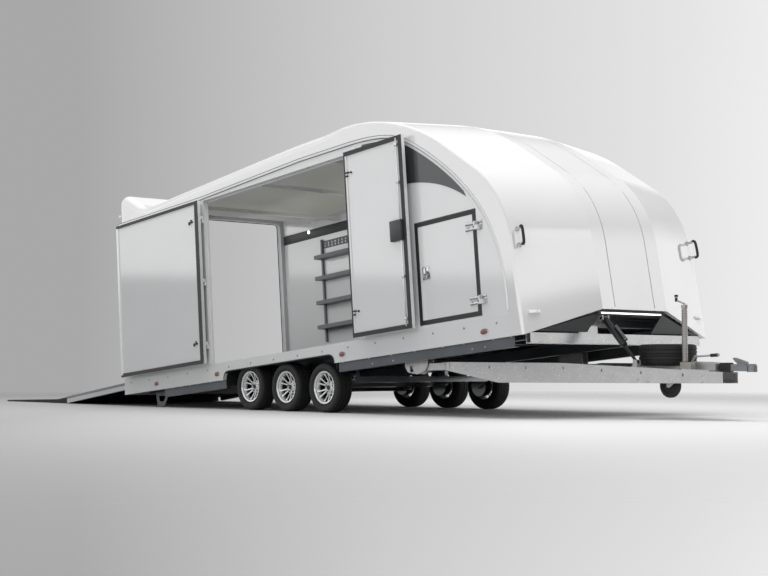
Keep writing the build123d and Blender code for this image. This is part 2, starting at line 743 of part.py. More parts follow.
def lamps():
    items = []
    for x in (759, 2072, 4369, 6457):
        oval = extrude(Plane.XZ.offset(body_half + 0.3) * Ellipse(52, 26), amount=9)
        items += both_sides(Pos(x, 0, 78) * oval)
    items += both_sides(block((-30, -0.3), (900, 1150), (10, 100)))
    items.append(block((7112, 7126), (-420, 420), (186, 199.7)))
    items += both_sides(cheek_place(1156, 200, nose_rake) * block((-60, 60), (-16, 16), (0.3, 26)))
    return items


def grab_handles():
    """Looped handles on the nose's cheeks."""
    bar = rod((0, -83, 85), (0, 83, 85), 12)
    for y in (-75, 75):
        bar += rod((0, y, -1.5), (0, y, 85), 11)
    return both_sides(cheek_place(1203, 885, nose_rake + 0.03) * bar)


# ---------------------------------------------------------------- writing the pieces

right_rear_wall, right_front_wall, doorway_frame = right_walls()
for z in hinge_heights:
    doorway_frame += knuckle(rear_axis, 1, z, False)
    doorway_frame += knuckle(front_axis, -1, z, False)
for z in locker_hinges:
    right_front_wall += knuckle(locker_axis, -1, z, False)

save("roof_shell", BED, roof_shell())
save("left_wall", BED, wall_panel(1))
save("right_rear_wall", BED, right_rear_wall)
save("right_front_wall", BED, right_front_wall)
save("doorway_frame", BED, doorway_frame)
save("skirts", BED, *skirts())
save("floor_deck", BED, block((60.3, wall_front - 1), (-inner_half + 0.5, inner_half - 0.5), (floor_low, floor_top)))
save("rear_frame", BED, rear_frame())
save("nose_underside", BED, *nose_underside())
save("roof_beams", BED, *roof_beams())
save("side_rack", BED, side_rack())
save("chassis_rails", BED, *chassis_rails())
save("cross_bearers", BED, *cross_bearers())
save("hinge_brackets", BED, *both_sides(hinge_bracket()))
save("front_crossmember", BED, front_crossmember())
save("wheel_boxes", BED, *both_sides(wheel_box()))
save("steady_legs", WORLD, *both_sides(steady_leg()))
save("lamps", BED, *lamps())
save("grab_handles", BED, *grab_handles())

one_tyre = tyre()
one_rim = rim()
for place, x in (("front", axle_spacing), ("middle", 0), ("rear", -axle_spacing)):
    save(f"axle_{place}", BED, axle(x))
    for side, sign in (("left", 1), ("right", -1)):
        spot = WORLD * Pos(x, sign * wheel_y, tyre_r)
        save(f"tyre_{place}_{side}", spot, one_tyre)
        save(f"rim_{place}_{side}", spot, one_rim if sign > 0 else mirror(one_rim, Plane.XZ))

save("drawbar_frame", WORLD, drawbar_frame())
housing, bellows = overrun_unit()
save("overrun_housing", WORLD, housing)
save("overrun_bellows", WORLD, bellows)
save("coupling_head", WORLD, coupling_head())
save("handbrake_lever", WORLD, handbrake_lever())
save("jockey_post", WORLD, jockey_post())
save("jockey_fork", WORLD, jockey_fork())
save("jockey_wheel", WORLD, jockey_wheel())
spare = WORLD * Pos(spare_x, 0, spare_z + tyre_width / 2) * Rot(90, 0, 0)
save("spare_tyre", spare, one_tyre)
save("spare_rim", spare, one_rim)

ram_barrel, ram_rod = ram_parts()
save("ram_barrel", WORLD, ram_barrel)
save("ram_rod", WORLD, ram_rod)

save("rear_side_door", BED, rear_side_door())
save("front_side_door", BED, front_side_door())
save("side_door_lock", BED, side_door_lock())
save("locker_door", BED, locker_door())
rails, deck = ramp_pieces()
save("ramp_rails", ramp_place(), *rails)
save("ramp_deck", ramp_place(), deck)
save("ramp_flap", WORLD, ramp_flap())
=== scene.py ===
from math import atan2, cos, pi, radians, sin

import bmesh
import bpy
from mathutils import Matrix, Vector


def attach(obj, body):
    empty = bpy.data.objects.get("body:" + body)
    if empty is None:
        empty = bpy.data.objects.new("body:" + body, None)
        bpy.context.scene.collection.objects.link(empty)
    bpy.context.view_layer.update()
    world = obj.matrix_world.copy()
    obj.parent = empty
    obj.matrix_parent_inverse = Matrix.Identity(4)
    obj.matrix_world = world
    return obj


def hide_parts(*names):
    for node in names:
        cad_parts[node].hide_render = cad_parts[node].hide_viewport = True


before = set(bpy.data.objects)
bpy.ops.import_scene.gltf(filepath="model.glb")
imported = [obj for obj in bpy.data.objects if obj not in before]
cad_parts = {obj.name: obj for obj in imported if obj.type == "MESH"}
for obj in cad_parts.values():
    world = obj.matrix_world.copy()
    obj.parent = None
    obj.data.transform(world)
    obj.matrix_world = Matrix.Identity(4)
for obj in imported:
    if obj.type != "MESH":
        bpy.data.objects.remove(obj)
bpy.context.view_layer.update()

# ---------------------------------------------------------------- roof moulding
# One glass-fibre moulding makes the roof, the raised tail and the swept nose. It is laid up in a
# polished mould, so its white gelcoat is glossy and very slightly wavy. Two joints of the mould
# run from the nose back along the crown, filled flush.

BED_TILT = radians(5.13)
MILLIMETRE = 0.001
BED = (Matrix.Translation((-8.409, 0, -0.311)) @ Matrix.Rotation(-BED_TILT, 4, "Y")
       @ Matrix.Scale(MILLIMETRE, 4))
TO_BED = BED.inverted()
SEAM_Y = 280
SEAM_WIDTH = 8
SEAM_PROUD = 0.5
SEAM_THICK = 0.6
NOSE_LEVELS = range(250, 1500, 50)
CROWN_STATIONS = range(6860, 60, -60)
BODY_CORE = (3500, 600)


def tone(code):
    """An sRGB hex colour as the linear colour that a shader takes."""
    parts = [int(code[i:i + 2], 16) / 255 for i in (0, 2, 4)]
    return [c / 12.92 if c <= 0.04045 else ((c + 0.055) / 1.055) ** 2.4 for c in parts] + [1.0]


def add(tree, kind, inputs=None, stops=(), **settings):
    """Adds a node with its settings, its ramp stops, and inputs as values or (node, output)."""
    node = tree.nodes.new("ShaderNode" + kind)
    for name, value in settings.items():
        setattr(node, name, value)
    for name, value in (inputs or {}).items():
        if isinstance(value, tuple) and isinstance(value[0], bpy.types.Node):
            tree.links.new(value[0].outputs[value[1]], node.inputs[name])
        else:
            node.inputs[name].default_value = value
    for n, (position, colour) in enumerate(stops):
        if n == len(node.color_ramp.elements):
            node.color_ramp.elements.new(position)
        node.color_ramp.elements[n].position = position
        node.color_ramp.elements[n].color = colour
    return node


# The grain of paint, rubber and plastic is a few tenths of a millimetre, too fine to show from
# here, so it is drawn at 1 to 4 mm.
def finish(name, code, rough, metal=0.0, coat=0.0, index=1.5, grain=3.0, relief=0.05, shade=0.04,
           flow=0.04, patch=400.0, stretch=(1, 1, 1), spangle=0.0, glow=0.0, glow_code="ffffff"):
    """A surface whose grain, relief, patches and spangle are sized in millimetres."""
    material = bpy.data.materials.new(name)
    material.use_nodes = True
    tree = material.node_tree
    tree.nodes.clear()
    place = add(tree, "TexCoord")
    drawn = add(tree, "Mapping", {"Vector": (place, "Object"), "Scale": stretch})
    fine = add(tree, "TexNoise", {"Vector": (drawn, "Vector"), "Scale": 1000 / grain,
                                  "Detail": 3.0})
    broad = add(tree, "TexNoise", {"Vector": (place, "Object"), "Scale": 1000 / patch,
                                   "Detail": 4.0})
    base = tone(code)
    worn = [c * (1 - shade * 2) for c in base[:3]] + [1.0]
    cloud = add(tree, "ValToRGB", {"Fac": (broad, "Fac")}, stops=((0.32, worn), (0.68, base)))
    colour = (cloud, "Color")
    if spangle:
        cells = add(tree, "TexVoronoi", {"Vector": (place, "Object"), "Scale": 1000 / spangle})
        blend = add(tree, "Mix", {"Factor": 0.06, "A": colour, "B": (cells, "Color")},
                    data_type="RGBA", blend_type="OVERLAY")
        colour = (add(tree, "RGBToBW", {"Color": (blend, 2)}), "Val")
    gloss = add(tree, "MapRange", {"Value": (fine, "Fac"), "To Min": max(rough - flow, 0.02),
                                   "To Max": rough + flow})
    bump = add(tree, "Bump", {"Height": (fine, "Fac"), "Distance": relief * MILLIMETRE,
                              "Strength": 0.6})
    shader = add(tree, "BsdfPrincipled", {
        "Base Color": colour, "Roughness": (gloss, "Result"), "Normal": (bump, "Normal"),
        "Metallic": metal, "IOR": index, "Coat Weight": coat, "Coat Roughness": 0.04,
        "Emission Color": tone(glow_code), "Emission Strength": glow})
    add(tree, "OutputMaterial", {"Surface": (shader, "BSDF")})
    return material


def dress(material, *nodes):
    """Gives a material to pieces that the CAD model already shapes."""
    for node in nodes:
        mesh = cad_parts[node].data
        mesh.materials.clear()
        mesh.materials.append(material)


def piece(name, shape, body, material, place=BED, bevel=0.0):
    """Turns a bmesh drawn in millimetres into an object that rides on a body."""
    bmesh.ops.remove_doubles(shape, verts=shape.verts, dist=0.01)
    shape.transform(place)
    bmesh.ops.recalc_face_normals(shape, faces=shape.faces)
    mesh = bpy.data.meshes.new(name)
    shape.to_mesh(mesh)
    shape.free()
    mesh.materials.append(material)
    thing = bpy.data.objects.new(name, mesh)
    bpy.context.scene.collection.objects.link(thing)
    if bevel:
        round_off = thing.modifiers.new("edges", "BEVEL")
        round_off.width = bevel * MILLIMETRE
        round_off.segments = 2
        round_off.angle_limit = radians(35)
    mesh.polygons.foreach_set("use_smooth", [True] * len(mesh.polygons))
    sharp = thing.modifiers.new("sharp", "EDGE_SPLIT")
    sharp.split_angle = radians(38)
    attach(thing, body)
    return thing


def on_roof(start, way):
    """Point of the moulding met by a line, in the body's millimetres."""
    origin = BED @ Vector(start)
    aim = (BED.to_3x3() @ Vector(way)).normalized()
    met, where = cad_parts["roof_shell"].ray_cast(origin, aim)[:2]
    return TO_BED @ where if met else None


# Polished gelcoat: a hard clear gloss with a faint ripple, and a high index for its strong sheen.
gelcoat = finish("white_gelcoat_moulded", "d8d8d8", 0.06, coat=0.8, index=2.3, grain=9.0,
                 relief=0.006, shade=0.01, flow=0.02)
dress(gelcoat, "roof_shell")

seams = bmesh.new()
for y in (-SEAM_Y, SEAM_Y):
    line = [on_roof((9000, y, z), (-1, 0, 0)) for z in NOSE_LEVELS]
    line += [on_roof((x, y, 3600), (0, 0, -1)) for x in CROWN_STATIONS]
    line = [p for p in line if p]
    rows = [[seams.verts.new((p.x, p.y + a * SEAM_WIDTH / 2, p.z)) for a in (1, -1)] for p in line]
    for a, b in zip(rows, rows[1:]):
        seams.faces.new((a[0], b[0], b[1], a[1]))
bmesh.ops.recalc_face_normals(seams, faces=seams.faces)
for face in seams.faces:
    face.normal_update()
for vert in seams.verts:
    vert.normal_update()
    away = Vector((vert.co.x - BODY_CORE[0], 0, vert.co.z - BODY_CORE[1]))
    out = vert.normal if vert.normal.dot(away) > 0 else -vert.normal
    vert.co += out * SEAM_PROUD
# Polyester joint filler: a dull grey line against the gloss.
seam_filler = finish("grey_joint_filler", "8f9092", 0.5, grain=2.0, relief=0.02)
seam_piece = piece("roof_seams", seams, "bed", seam_filler)
thick = seam_piece.modifiers.new("thick", "SOLIDIFY")
thick.thickness = SEAM_THICK * MILLIMETRE

# ---------------------------------------------------------------- side walls
# Flat sandwich panels with a glossy white coat, let into the moulding. An aluminium cover strip
# hides the joint along the arch, and a smoked acrylic light is bonded in behind the front door.

WALL_Y = 1275
ARCH_FOOT = 232
ARCH_HUB = (3000, 200)
COVER_IN = 17
COVER_WIDTH = 26
COVER_OUT = 9
SEAL_BANDS = ((2, 4, 10), (33, 5, 3))
LIGHT_IN = 62
LIGHT_REAR = 4790
LIGHT_FRONT = 6334
LIGHT_FOOT = 1356
LIGHT_LOW = ((LIGHT_FRONT, 1352), (6020, 1560), (5640, 1690), (LIGHT_REAR, 1620))
LIGHT_STEPS = 24


def skin(shape, rings, ends=False):
    """Faces between neighbouring rings of vertices, and over both ends where they are closed."""
    for a, b in zip(rings, rings[1:]):
        for n in range(len(a)):
            k = (n + 1) % len(a)
            shape.faces.new((a[n], a[k], b[k], b[n]))
    if ends:
        shape.faces.new(rings[0][::-1])
        shape.faces.new(rings[-1])


def strip(shape, path, width, low, high):
    """A flat band along a path of (x, z) points on a side wall, from y = low to y = high."""
    rows = []
    for i, (x, z) in enumerate(path):
        ahead, back = path[min(i + 1, len(path) - 1)], path[max(i - 1, 0)]
        run = Vector((ahead[0] - back[0], ahead[1] - back[1])).normalized()
        side = Vector((-run.y, run.x)) * width / 2
        rows.append([shape.verts.new((x + a * side.x, y, z + a * side.y))
                     for a, y in ((1, low), (1, high), (-1, high), (-1, low))])
    skin(shape, rows, ends=True)


def moved_in(path, gap):
    """A copy of the arch's line, moved inwards by a gap."""
    moved = []
    for i, (x, z) in enumerate(path):
        ahead, back = path[min(i + 1, len(path) - 1)], path[max(i - 1, 0)]
        run = Vector((ahead[0] - back[0], ahead[1] - back[1])).normalized()
        moved.append((x - run.y * gap, z + run.x * gap))
    return moved


# Coated sandwich panel: flat and mirror-like, with none of the moulding's ripple.
panel_white = finish("white_sandwich_panel", "d4d5d6", 0.06, coat=0.6, index=1.8, grain=5.0,
                     relief=0.004, shade=0.01, flow=0.01)
dress(panel_white, "left_wall", "right_rear_wall", "right_front_wall")

arch_points = set()
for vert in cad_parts["left_wall"].data.vertices:
    spot = TO_BED @ vert.co
    if spot.z > ARCH_FOOT:
        arch_points.add((round(spot.x, 1), round(spot.z, 1)))
arch = sorted(arch_points, key=lambda p: atan2(p[1] - ARCH_HUB[1], p[0] - ARCH_HUB[0]))
arch = [p for i, p in enumerate(arch) if i == 0 or (Vector(p) - Vector(arch[i - 1])).length > 8]

cover = bmesh.new()
joint = bmesh.new()
for sign in (-1, 1):
    strip(cover, moved_in(arch, COVER_IN), COVER_WIDTH, sign * WALL_Y, sign * (WALL_Y + COVER_OUT))
    for inwards, width, out in SEAL_BANDS:
        strip(joint, moved_in(arch, inwards), width, sign * WALL_Y, sign * (WALL_Y + out))
# Powder-coated aluminium trim: a white satin line, a little brighter than the panel.
satin_trim = finish("satin_white_aluminium", "e9eaeb", 0.28, coat=0.3, grain=4.0, relief=0.02,
                    shade=0.02)
# Polyurethane sealant: a dark, dull bead. The same black is also painted shade in the drawbar's
# slots.
black_sealant_and_slot_shade = finish("black_sealant_and_slot_shade", "3a3b3d", 0.55, grain=3.0, relief=0.1)
piece("arch_cover_strips", cover, "bed", satin_trim, bevel=2.0)
piece("arch_joint_seals", joint, "bed", black_sealant_and_slot_shade)

light_top = [(x, z) for x, z in moved_in(arch, LIGHT_IN)
             if LIGHT_REAR <= x <= LIGHT_FRONT and z > LIGHT_FOOT]
light_low = []
for n in range(LIGHT_STEPS + 1):
    t = n / LIGHT_STEPS
    weights = ((1 - t) ** 3, 3 * t * (1 - t) ** 2, 3 * t ** 2 * (1 - t), t ** 3)
    light_low.append(tuple(sum(w * p[k] for w, p in zip(weights, LIGHT_LOW)) for k in (0, 1)))
glaze = bmesh.new()
for sign in (-1, 1):
    outline = light_top + light_low[::-1]
    outer = [glaze.verts.new((x, sign * (WALL_Y + 2.5), z)) for x, z in outline]
    inner = [glaze.verts.new((x, sign * (WALL_Y - 1), z)) for x, z in outline]
    for i in range(len(outline)):
        k = (i + 1) % len(outline)
        glaze.faces.new((outer[i], outer[k], inner[k], inner[i]))
    rim = [glaze.edges.get((outer[i], outer[(i + 1) % len(outer)])) for i in range(len(outer))]
    bmesh.ops.triangle_fill(glaze, use_beauty=True, edges=rim)
# Cast acrylic, smoked: dark and smooth, with a clear shine on its face.
smoked = finish("smoked_acrylic", "3b3c3f", 0.12, coat=0.3, grain=12.0, relief=0.01, shade=0.05)
piece("side_lights", glaze, "bed", smoked)

# ---------------------------------------------------------------- skirts and side markers
# Folded and painted sill panels, held to the chassis by a row of dome rivets. Oval reflector
# lamps in plated bezels sit low on them, and black plastic edging follows the wheel openings.

RIVET_X = [155 + 431 * n for n in range(16)]
RIVET_Z = 138
RIVET_RADIUS = 11
RIVET_HEIGHT = 6
DOME_FORM = ((1.0, 0.0), (0.92, 0.5), (0.6, 0.85), (0.25, 1.0))
MARKER_X = (759, 2072, 4369, 6457)
MARKER_Z = 78
BEZEL_FORM = [(54, 0.2), (54, 4), (50, 7), (44, 7), (42, 4)]
LENS_FORM = [(44, 0.4), (44, 5), (40, 8), (28, 9), (10, 9.2)]
OPENING_EDGE = [(2207, -2), (2207, 20), (2212, 45), (2228, 68), (2252, 82), (2285, 90), (2600, 90),
                (3200, 90), (3800, 90), (4145, 90), (4178, 82), (4202, 68), (4218, 45), (4223, 20),
                (4223, -2)]
EDGING_WIDTH = 12


def turned(shape, centre, axis, profile, steps=24, squash=1.0, close=False):
    """A form turned about an axis; the profile gives (radius, distance along the axis)."""
    along = Vector(axis).normalized()
    if abs(along.z) > 0.9:
        one = along.orthogonal().normalized()
    else:
        one = Vector((0, 0, 1)).cross(along).normalized()
    two = along.cross(one)
    rings = []
    for radius, far in profile:
        rings.append([shape.verts.new(Vector(centre) + along * far
                                      + one * radius * cos(2 * pi * n / steps)
                                      + two * radius * squash * sin(2 * pi * n / steps))
                      for n in range(steps)])
    skin(shape, rings + rings[:1] if close else rings, ends=not close)


def dome(shape, centre, radius, height, sign):
    """A low rivet head on a side wall; sign gives the side it stands on."""
    turned(shape, centre, (0, sign, 0), [(r * radius, h * height) for r, h in DOME_FORM], 10)


# Two-pack paint on folded sheet: glossy, but softer than the panels above it.
skirt_white = finish("white_sill_paint", "d0d1d2", 0.16, coat=0.6, index=1.8, grain=4.0,
                     relief=0.008, shade=0.015)
dress(skirt_white, "skirts")

rivets = bmesh.new()
for sign in (-1, 1):
    for x in RIVET_X:
        dome(rivets, (x, sign * (WALL_Y - 0.5), RIVET_Z), RIVET_RADIUS, RIVET_HEIGHT, sign)
# Aluminium dome rivets, left bare: small dull grey dots on the white.
rivet_grey = finish("grey_rivet_head", "7e8083", 0.4, metal=0.4, grain=1.5, relief=0.02)
piece("skirt_rivets", rivets, "bed", rivet_grey)

lens = bmesh.new()
bezel = bmesh.new()
for sign in (-1, 1):
    for x in MARKER_X:
        spot = (x, sign * WALL_Y, MARKER_Z)
        turned(bezel, spot, (0, sign, 0), BEZEL_FORM, 32, 0.5)
        turned(lens, spot, (0, sign, 0), LENS_FORM, 32, 0.47)
# Moulded amber lens: ribbed inside, so it reads as a muted brown-red under its shine.
amber = finish("ribbed_amber_lens", "84463a", 0.18, coat=0.6, grain=4.0, relief=0.25, shade=0.06)
# Vacuum-plated plastic: a thin bright ring.
bezel_chrome = finish("plated_bezel", "c8c9cb", 0.16, metal=1.0, grain=1.5, relief=0.01,
                      shade=0.03)
marker_lenses = piece("side_marker_lenses", lens, "bed", amber)
piece("side_marker_bezels", bezel, "bed", bezel_chrome)

edging = bmesh.new()
for sign in (-1, 1):
    strip(edging, moved_in(OPENING_EDGE[::-1], -3), EDGING_WIDTH, sign * (WALL_Y - 34),
          sign * (WALL_Y + 4))
# Extruded black plastic: an even, low sheen.
arch_black = finish("black_moulded_edging", "232425", 0.5, grain=3.0, relief=0.15)
piece("wheel_arch_edging", edging, "bed", arch_black, bevel=1.5)
# Pressed polyethylene: matt black with a coarse, dirty grain.
splash_black = finish("black_splash_plate", "1c1d1e", 0.6, grain=6.0, relief=0.3, shade=0.1)
dress(splash_black, "wheel_boxes")

# ---------------------------------------------------------------- side doorway and folding doors
# A white-painted frame lines the doorway. Both doors are sandwich panels on pinned hinges, and
# fold back flat against the wall. Their inner faces carry dark seals screwed on round the edge,
# and the front door has a pair of lock rods and their box.

REAR_DOOR = (100, 1960, 208, 2095)
FRONT_DOOR = (4682, 5582, 208, 2095)
SEAL_FACE = -1375
REAR_KEEPERS = ((1800, 1862), (1800, 448))
FRONT_KEEPERS = ((4745, 1862), (4745, 455))
ROD_X = 5507
ROD_Y = -1382
ROD_RADIUS = 6.8
ROD_RUNS = ((236, 1068), (1268, 2073))
GUIDE_Z = (305, 715, 1635, 2005)
LOCK_X = (5365, 5533)
LOCK_Z = (1068, 1268)
SCREW_FORM = [(6, 0), (6, 1.5), (4, 2.4)]
HINGE_Y = -1305
HINGE_Z = (420, 1150, 1880)
DOOR_HINGES = (("rear_side_door", 1948), ("front_side_door", 4694))
PIN_FOOT = [(5, -2), (8.6, 0), (8.6, 1.5), (5, 2.2)]
PIN_HEAD = [(5, 0), (8.6, 0.5), (8.6, 2), (5, 3.5)]


def seal_frame(shape, door, bands, face):
    """A mitred frame of bands, in the order rear, front, low and top, on a door's outer face."""
    x0, x1, z0, z1 = door
    rear, front, low, top = bands
    outer = [(x0, z0), (x1, z0), (x1, z1), (x0, z1)]
    inner = [(x0 + rear, z0 + low), (x1 - front, z0 + low), (x1 - front, z1 - top),
             (x0 + rear, z1 - top)]
    levels = [(outer, face + 4), (outer, face - 1.2), (inner, face - 1.2), (inner, face + 7)]
    skin(shape, [[shape.verts.new((x, y, z)) for x, z in ring] for ring, y in levels])


def block(shape, x, y, z):
    """A box from its three ranges."""
    corners = [shape.verts.new((a, b, c)) for a in x for b in y for c in z]
    for ring in ((0, 1, 3, 2), (4, 6, 7, 5), (0, 4, 5, 1), (2, 3, 7, 6), (0, 2, 6, 4),
                 (1, 5, 7, 3)):
        shape.faces.new([corners[i] for i in ring])


# Frame paint over aluminium: plain white with a soft sheen.
frame_white = finish("white_frame_paint", "dfe0e1", 0.3, coat=0.2, grain=3.0, relief=0.02,
                     shade=0.02)
dress(frame_white, "doorway_frame")
dress(panel_white, "rear_side_door", "front_side_door", "locker_door")

# Rubber seal profile: near black, with the slight shine of clean rubber.
seal_dark = finish("dark_seal_profile", "242526", 0.42, grain=2.5, relief=0.08, shade=0.08)
rear_seal = bmesh.new()
seal_frame(rear_seal, REAR_DOOR, (36, 70, 45, 38), SEAL_FACE)
piece("rear_door_seal", rear_seal, "rear_side_door", seal_dark)
edge_strip = bmesh.new()
block(edge_strip, (100.5, 138), (SEAL_FACE - 2.6, SEAL_FACE + 6), (232, 2062))
piece("rear_door_edge_strip", edge_strip, "rear_side_door", satin_trim,
      bevel=2.5)
front_seal = bmesh.new()
seal_frame(front_seal, FRONT_DOOR, (20, 52, 45, 45), SEAL_FACE)
piece("front_door_seal", front_seal, "front_side_door", seal_dark)

# Moulded nylon, black: a plain satin black on keepers, grips, catches and trays.
keeper_black = finish("black_nylon_keeper", "1b1b1c", 0.45, grain=2.0, relief=0.05)
rear_keeps = bmesh.new()
for x, z in REAR_KEEPERS:
    block(rear_keeps, (x - 38, x + 42), (SEAL_FACE - 8, SEAL_FACE + 9), (z - 8, z + 8))
    for x_pin, z_pin in ((x - 30, z - 18), (x + 12, z + 22)):
        turned(rear_keeps, (x_pin, SEAL_FACE + 8, z_pin), (0, -1, 0),
               [(9, 0), (9, 12), (6, 16)], 14)
piece("rear_door_keepers", rear_keeps, "rear_side_door", keeper_black, bevel=2.0)
front_keeps = bmesh.new()
for x, z in FRONT_KEEPERS:
    block(front_keeps, (x - 42, x + 10), (SEAL_FACE - 8, SEAL_FACE + 9), (z + 10, z + 24))
    block(front_keeps, (x - 42, x - 8), (SEAL_FACE - 8, SEAL_FACE + 9), (z - 26, z - 12))
    turned(front_keeps, (x + 44, SEAL_FACE + 8, z + 10), (0, -1, 0),
           [(11, 0), (11, 12), (7, 17)], 14)
piece("front_door_keepers", front_keeps, "front_side_door", keeper_black,
      bevel=2.0)

rods = bmesh.new()
for low, high in ROD_RUNS:
    run = high - low
    turned(rods, (ROD_X, ROD_Y, low), (0, 0, 1),
           [(6, 0), (ROD_RADIUS, 4), (ROD_RADIUS, run - 4), (6, run)], 14)
for z in GUIDE_Z:
    block(rods, (ROD_X - 16, ROD_X + 16), (ROD_Y - 10, ROD_Y + 14), (z - 15, z + 15))
# Bright zinc plate on steel rod: light and smooth, but less sharp than chrome.
lock_rods = finish("plated_lock_rod", "dcdddf", 0.22, metal=0.7, grain=1.5, relief=0.01,
                   shade=0.03)
lock_piece = piece("front_door_lock_rods", rods, "front_side_door", lock_rods,
                   bevel=2.0)
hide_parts("side_door_lock")
case = bmesh.new()
block(case, LOCK_X, (-1401.3, -1367.5), LOCK_Z)
block(case, (LOCK_X[0] + 7, LOCK_X[1] - 7), (-1402.8, -1400), (LOCK_Z[0] + 7, LOCK_Z[1] - 7))
for z in (LOCK_Z[0] + 20, LOCK_Z[1] - 20):
    for x in (LOCK_X[0] + 15, LOCK_X[1] - 15):
        turned(case, (x, -1402, z), (0, -1, 0), SCREW_FORM, 12)
# Powder coat, dark grey: an even satin with a fine orange-peel grain.
box_black = finish("grey_powder_coat", "3f4143", 0.45, grain=1.2, relief=0.06, shade=0.05)
piece("front_door_lock_box", case, "front_side_door", box_black, bevel=4.0)

# Stainless steel, turned and pressed: clean and grey, with a close reflection.
hinge_steel = finish("stainless_hinge", "c2c4c6", 0.25, metal=1.0, grain=1.2, relief=0.02,
                     shade=0.04)
for body, axis_x in DOOR_HINGES:
    pins = bmesh.new()
    for z in HINGE_Z:
        turned(pins, (axis_x, HINGE_Y, z - 41), (0, 0, 1), PIN_FOOT, 18)
        turned(pins, (axis_x, HINGE_Y, z + 40.2), (0, 0, 1), PIN_HEAD, 18)
    piece(f"hinge_pins_{body}", pins, "bed", hinge_steel)

# ---------------------------------------------------------------- locker
# A small closed door ahead of the doorway, in a dark rubber-faced frame. Two plated strap hinges
# hang it at its front edge and a plated compression latch holds the other.

LOCKER = (5588, 6440, 231, 1217)
STRAPS = (("leaf", "locker_door", (6300, 6441), (6320, 6344), (-40, 12)),
          ("foot", "bed", (6464, 6521), (6497, 6521), (-40, -12, 16)))
STRAP_Z = (373, 1060)
STRAP_WIDTH = 26
LOCKER_HINGE_X = 6452
LATCH_X = 5743


def bar(shape, path, radius, steps=12):
    """A round bar bent along a path."""
    points = [Vector(p) for p in path]
    rings = []
    side = None
    for i, point in enumerate(points):
        run = (points[min(i + 1, len(points) - 1)] - points[max(i - 1, 0)]).normalized()
        if side is None:
            side = run.orthogonal().normalized()
        else:
            side = (side - run * side.dot(run)).normalized()
        other = run.cross(side)
        rings.append([shape.verts.new(point + (side * cos(2 * pi * n / steps)
                                               + other * sin(2 * pi * n / steps)) * radius)
                      for n in range(steps)])
    skin(shape, rings, ends=True)


locker_seal = bmesh.new()
seal_frame(locker_seal, LOCKER, (44, 46, 42, 44), -WALL_Y)
piece("locker_frame", locker_seal, "locker_door", seal_dark)

for part, body, reach, root, lows in STRAPS:
    straps = bmesh.new()
    for z in STRAP_Z:
        for low in lows:
            block(straps, reach, (-WALL_Y - 7, -WALL_Y + 1), (z + low, z + low + STRAP_WIDTH))
        block(straps, root, (-WALL_Y - 6, -WALL_Y + 1), (z - 40, z + 42))
        for x in (reach[0] + 18, reach[1] - 18):
            dome(straps, (x, -WALL_Y - 7, z - 27), 6, 3, -1)
            dome(straps, (x, -WALL_Y - 7, z + 26), 6, 3, -1)
    piece(f"locker_hinge_{part}", straps, body, hinge_steel, bevel=1.5)
barrel = bmesh.new()
for z in STRAP_Z:
    turned(barrel, (LOCKER_HINGE_X, HINGE_Y, z - 41), (0, 0, 1),
           [(5, -2), (9.6, 0), (9.6, 80), (5, 82.5)], 18)
piece("locker_hinge_pins", barrel, "bed", hinge_steel)

latch = bmesh.new()
block(latch, (5668, 5772), (-WALL_Y - 5, -WALL_Y + 1), (656, 780))
block(latch, (5676, 5716), (-WALL_Y - 13, -WALL_Y - 4), (664, 772))
block(latch, (5722, 5764), (-WALL_Y - 11, -WALL_Y - 4), (700, 772))
bar(latch, [(LATCH_X, -WALL_Y - 9, 696), (LATCH_X, -WALL_Y - 24, 690),
            (LATCH_X, -WALL_Y - 26, 664)], 7)
turned(latch, (5696, -WALL_Y - 12, 692), (0, -1, 0), [(11, 0), (11, 3), (8, 5)], 18)
# Chrome on die-cast zinc: the brightest and sharpest of the metals here.
plated = finish("chrome_plated_zinc", "c9cacc", 0.14, metal=1.0, grain=1.5, relief=0.01,
                shade=0.03)
piece("locker_latch", latch, "locker_door", plated, bevel=2.5)

# ---------------------------------------------------------------- tail portal
# The open tail is framed by a welded and painted portal with rounded corners. White corner posts,
# a small position lamp and a black ramp catch finish its outside.

PORTAL_Y = 1180
PORTAL_TOP = 2250
PORTAL_CORNER = 50
CLUSTER_CELLS = ((905, 985), (990, 1062), (1067, 1145))
TAIL_LENS = [(26, 0), (26, 2), (20, 3.6), (6, 3.9)]

# Machine enamel over welded steel: light grey, with a soft even sheen.
portal_grey = finish("light_grey_portal_paint", "c3c5c8", 0.38, coat=0.15, grain=3.0,
                     relief=0.03, shade=0.03)
dress(portal_grey, "rear_frame")
posts = bmesh.new()
for sign in (-1, 1):
    block(posts, (2, 40), (sign * (WALL_Y - 1), sign * (WALL_Y + 6)), (206, 2140))
piece("tail_corner_posts", posts, "bed", satin_trim, bevel=3.0)
portal_seal = bmesh.new()
corner_y = PORTAL_CORNER - PORTAL_Y
seal_path = [(-PORTAL_Y, 214), (-PORTAL_Y, PORTAL_TOP)]
seal_path += [(corner_y - PORTAL_CORNER * cos(a), PORTAL_TOP + PORTAL_CORNER * sin(a))
              for a in (0.4, 0.8, 1.2, pi / 2)]
seal_path += [(-y, z) for y, z in seal_path[::-1]]
bar(portal_seal, [(-3, y, z) for y, z in seal_path], 6, 8)
piece("portal_seal", portal_seal, "bed", keeper_black)
catches = bmesh.new()
tail_lamps = bmesh.new()
for sign in (-1, 1):
    block(catches, (2, 30), (sign * WALL_Y, sign * (WALL_Y + 10)), (1975, 2010))
    turned(catches, (16, sign * (WALL_Y + 8), 1950), (0, 0, -1), [(8, 0), (8, 30), (5, 36)], 12)
    turned(tail_lamps, (45, sign * (WALL_Y + 8), 2235), (0, sign, 0), TAIL_LENS, 20, 0.7)
piece("ramp_catches", catches, "bed", keeper_black, bevel=1.5)
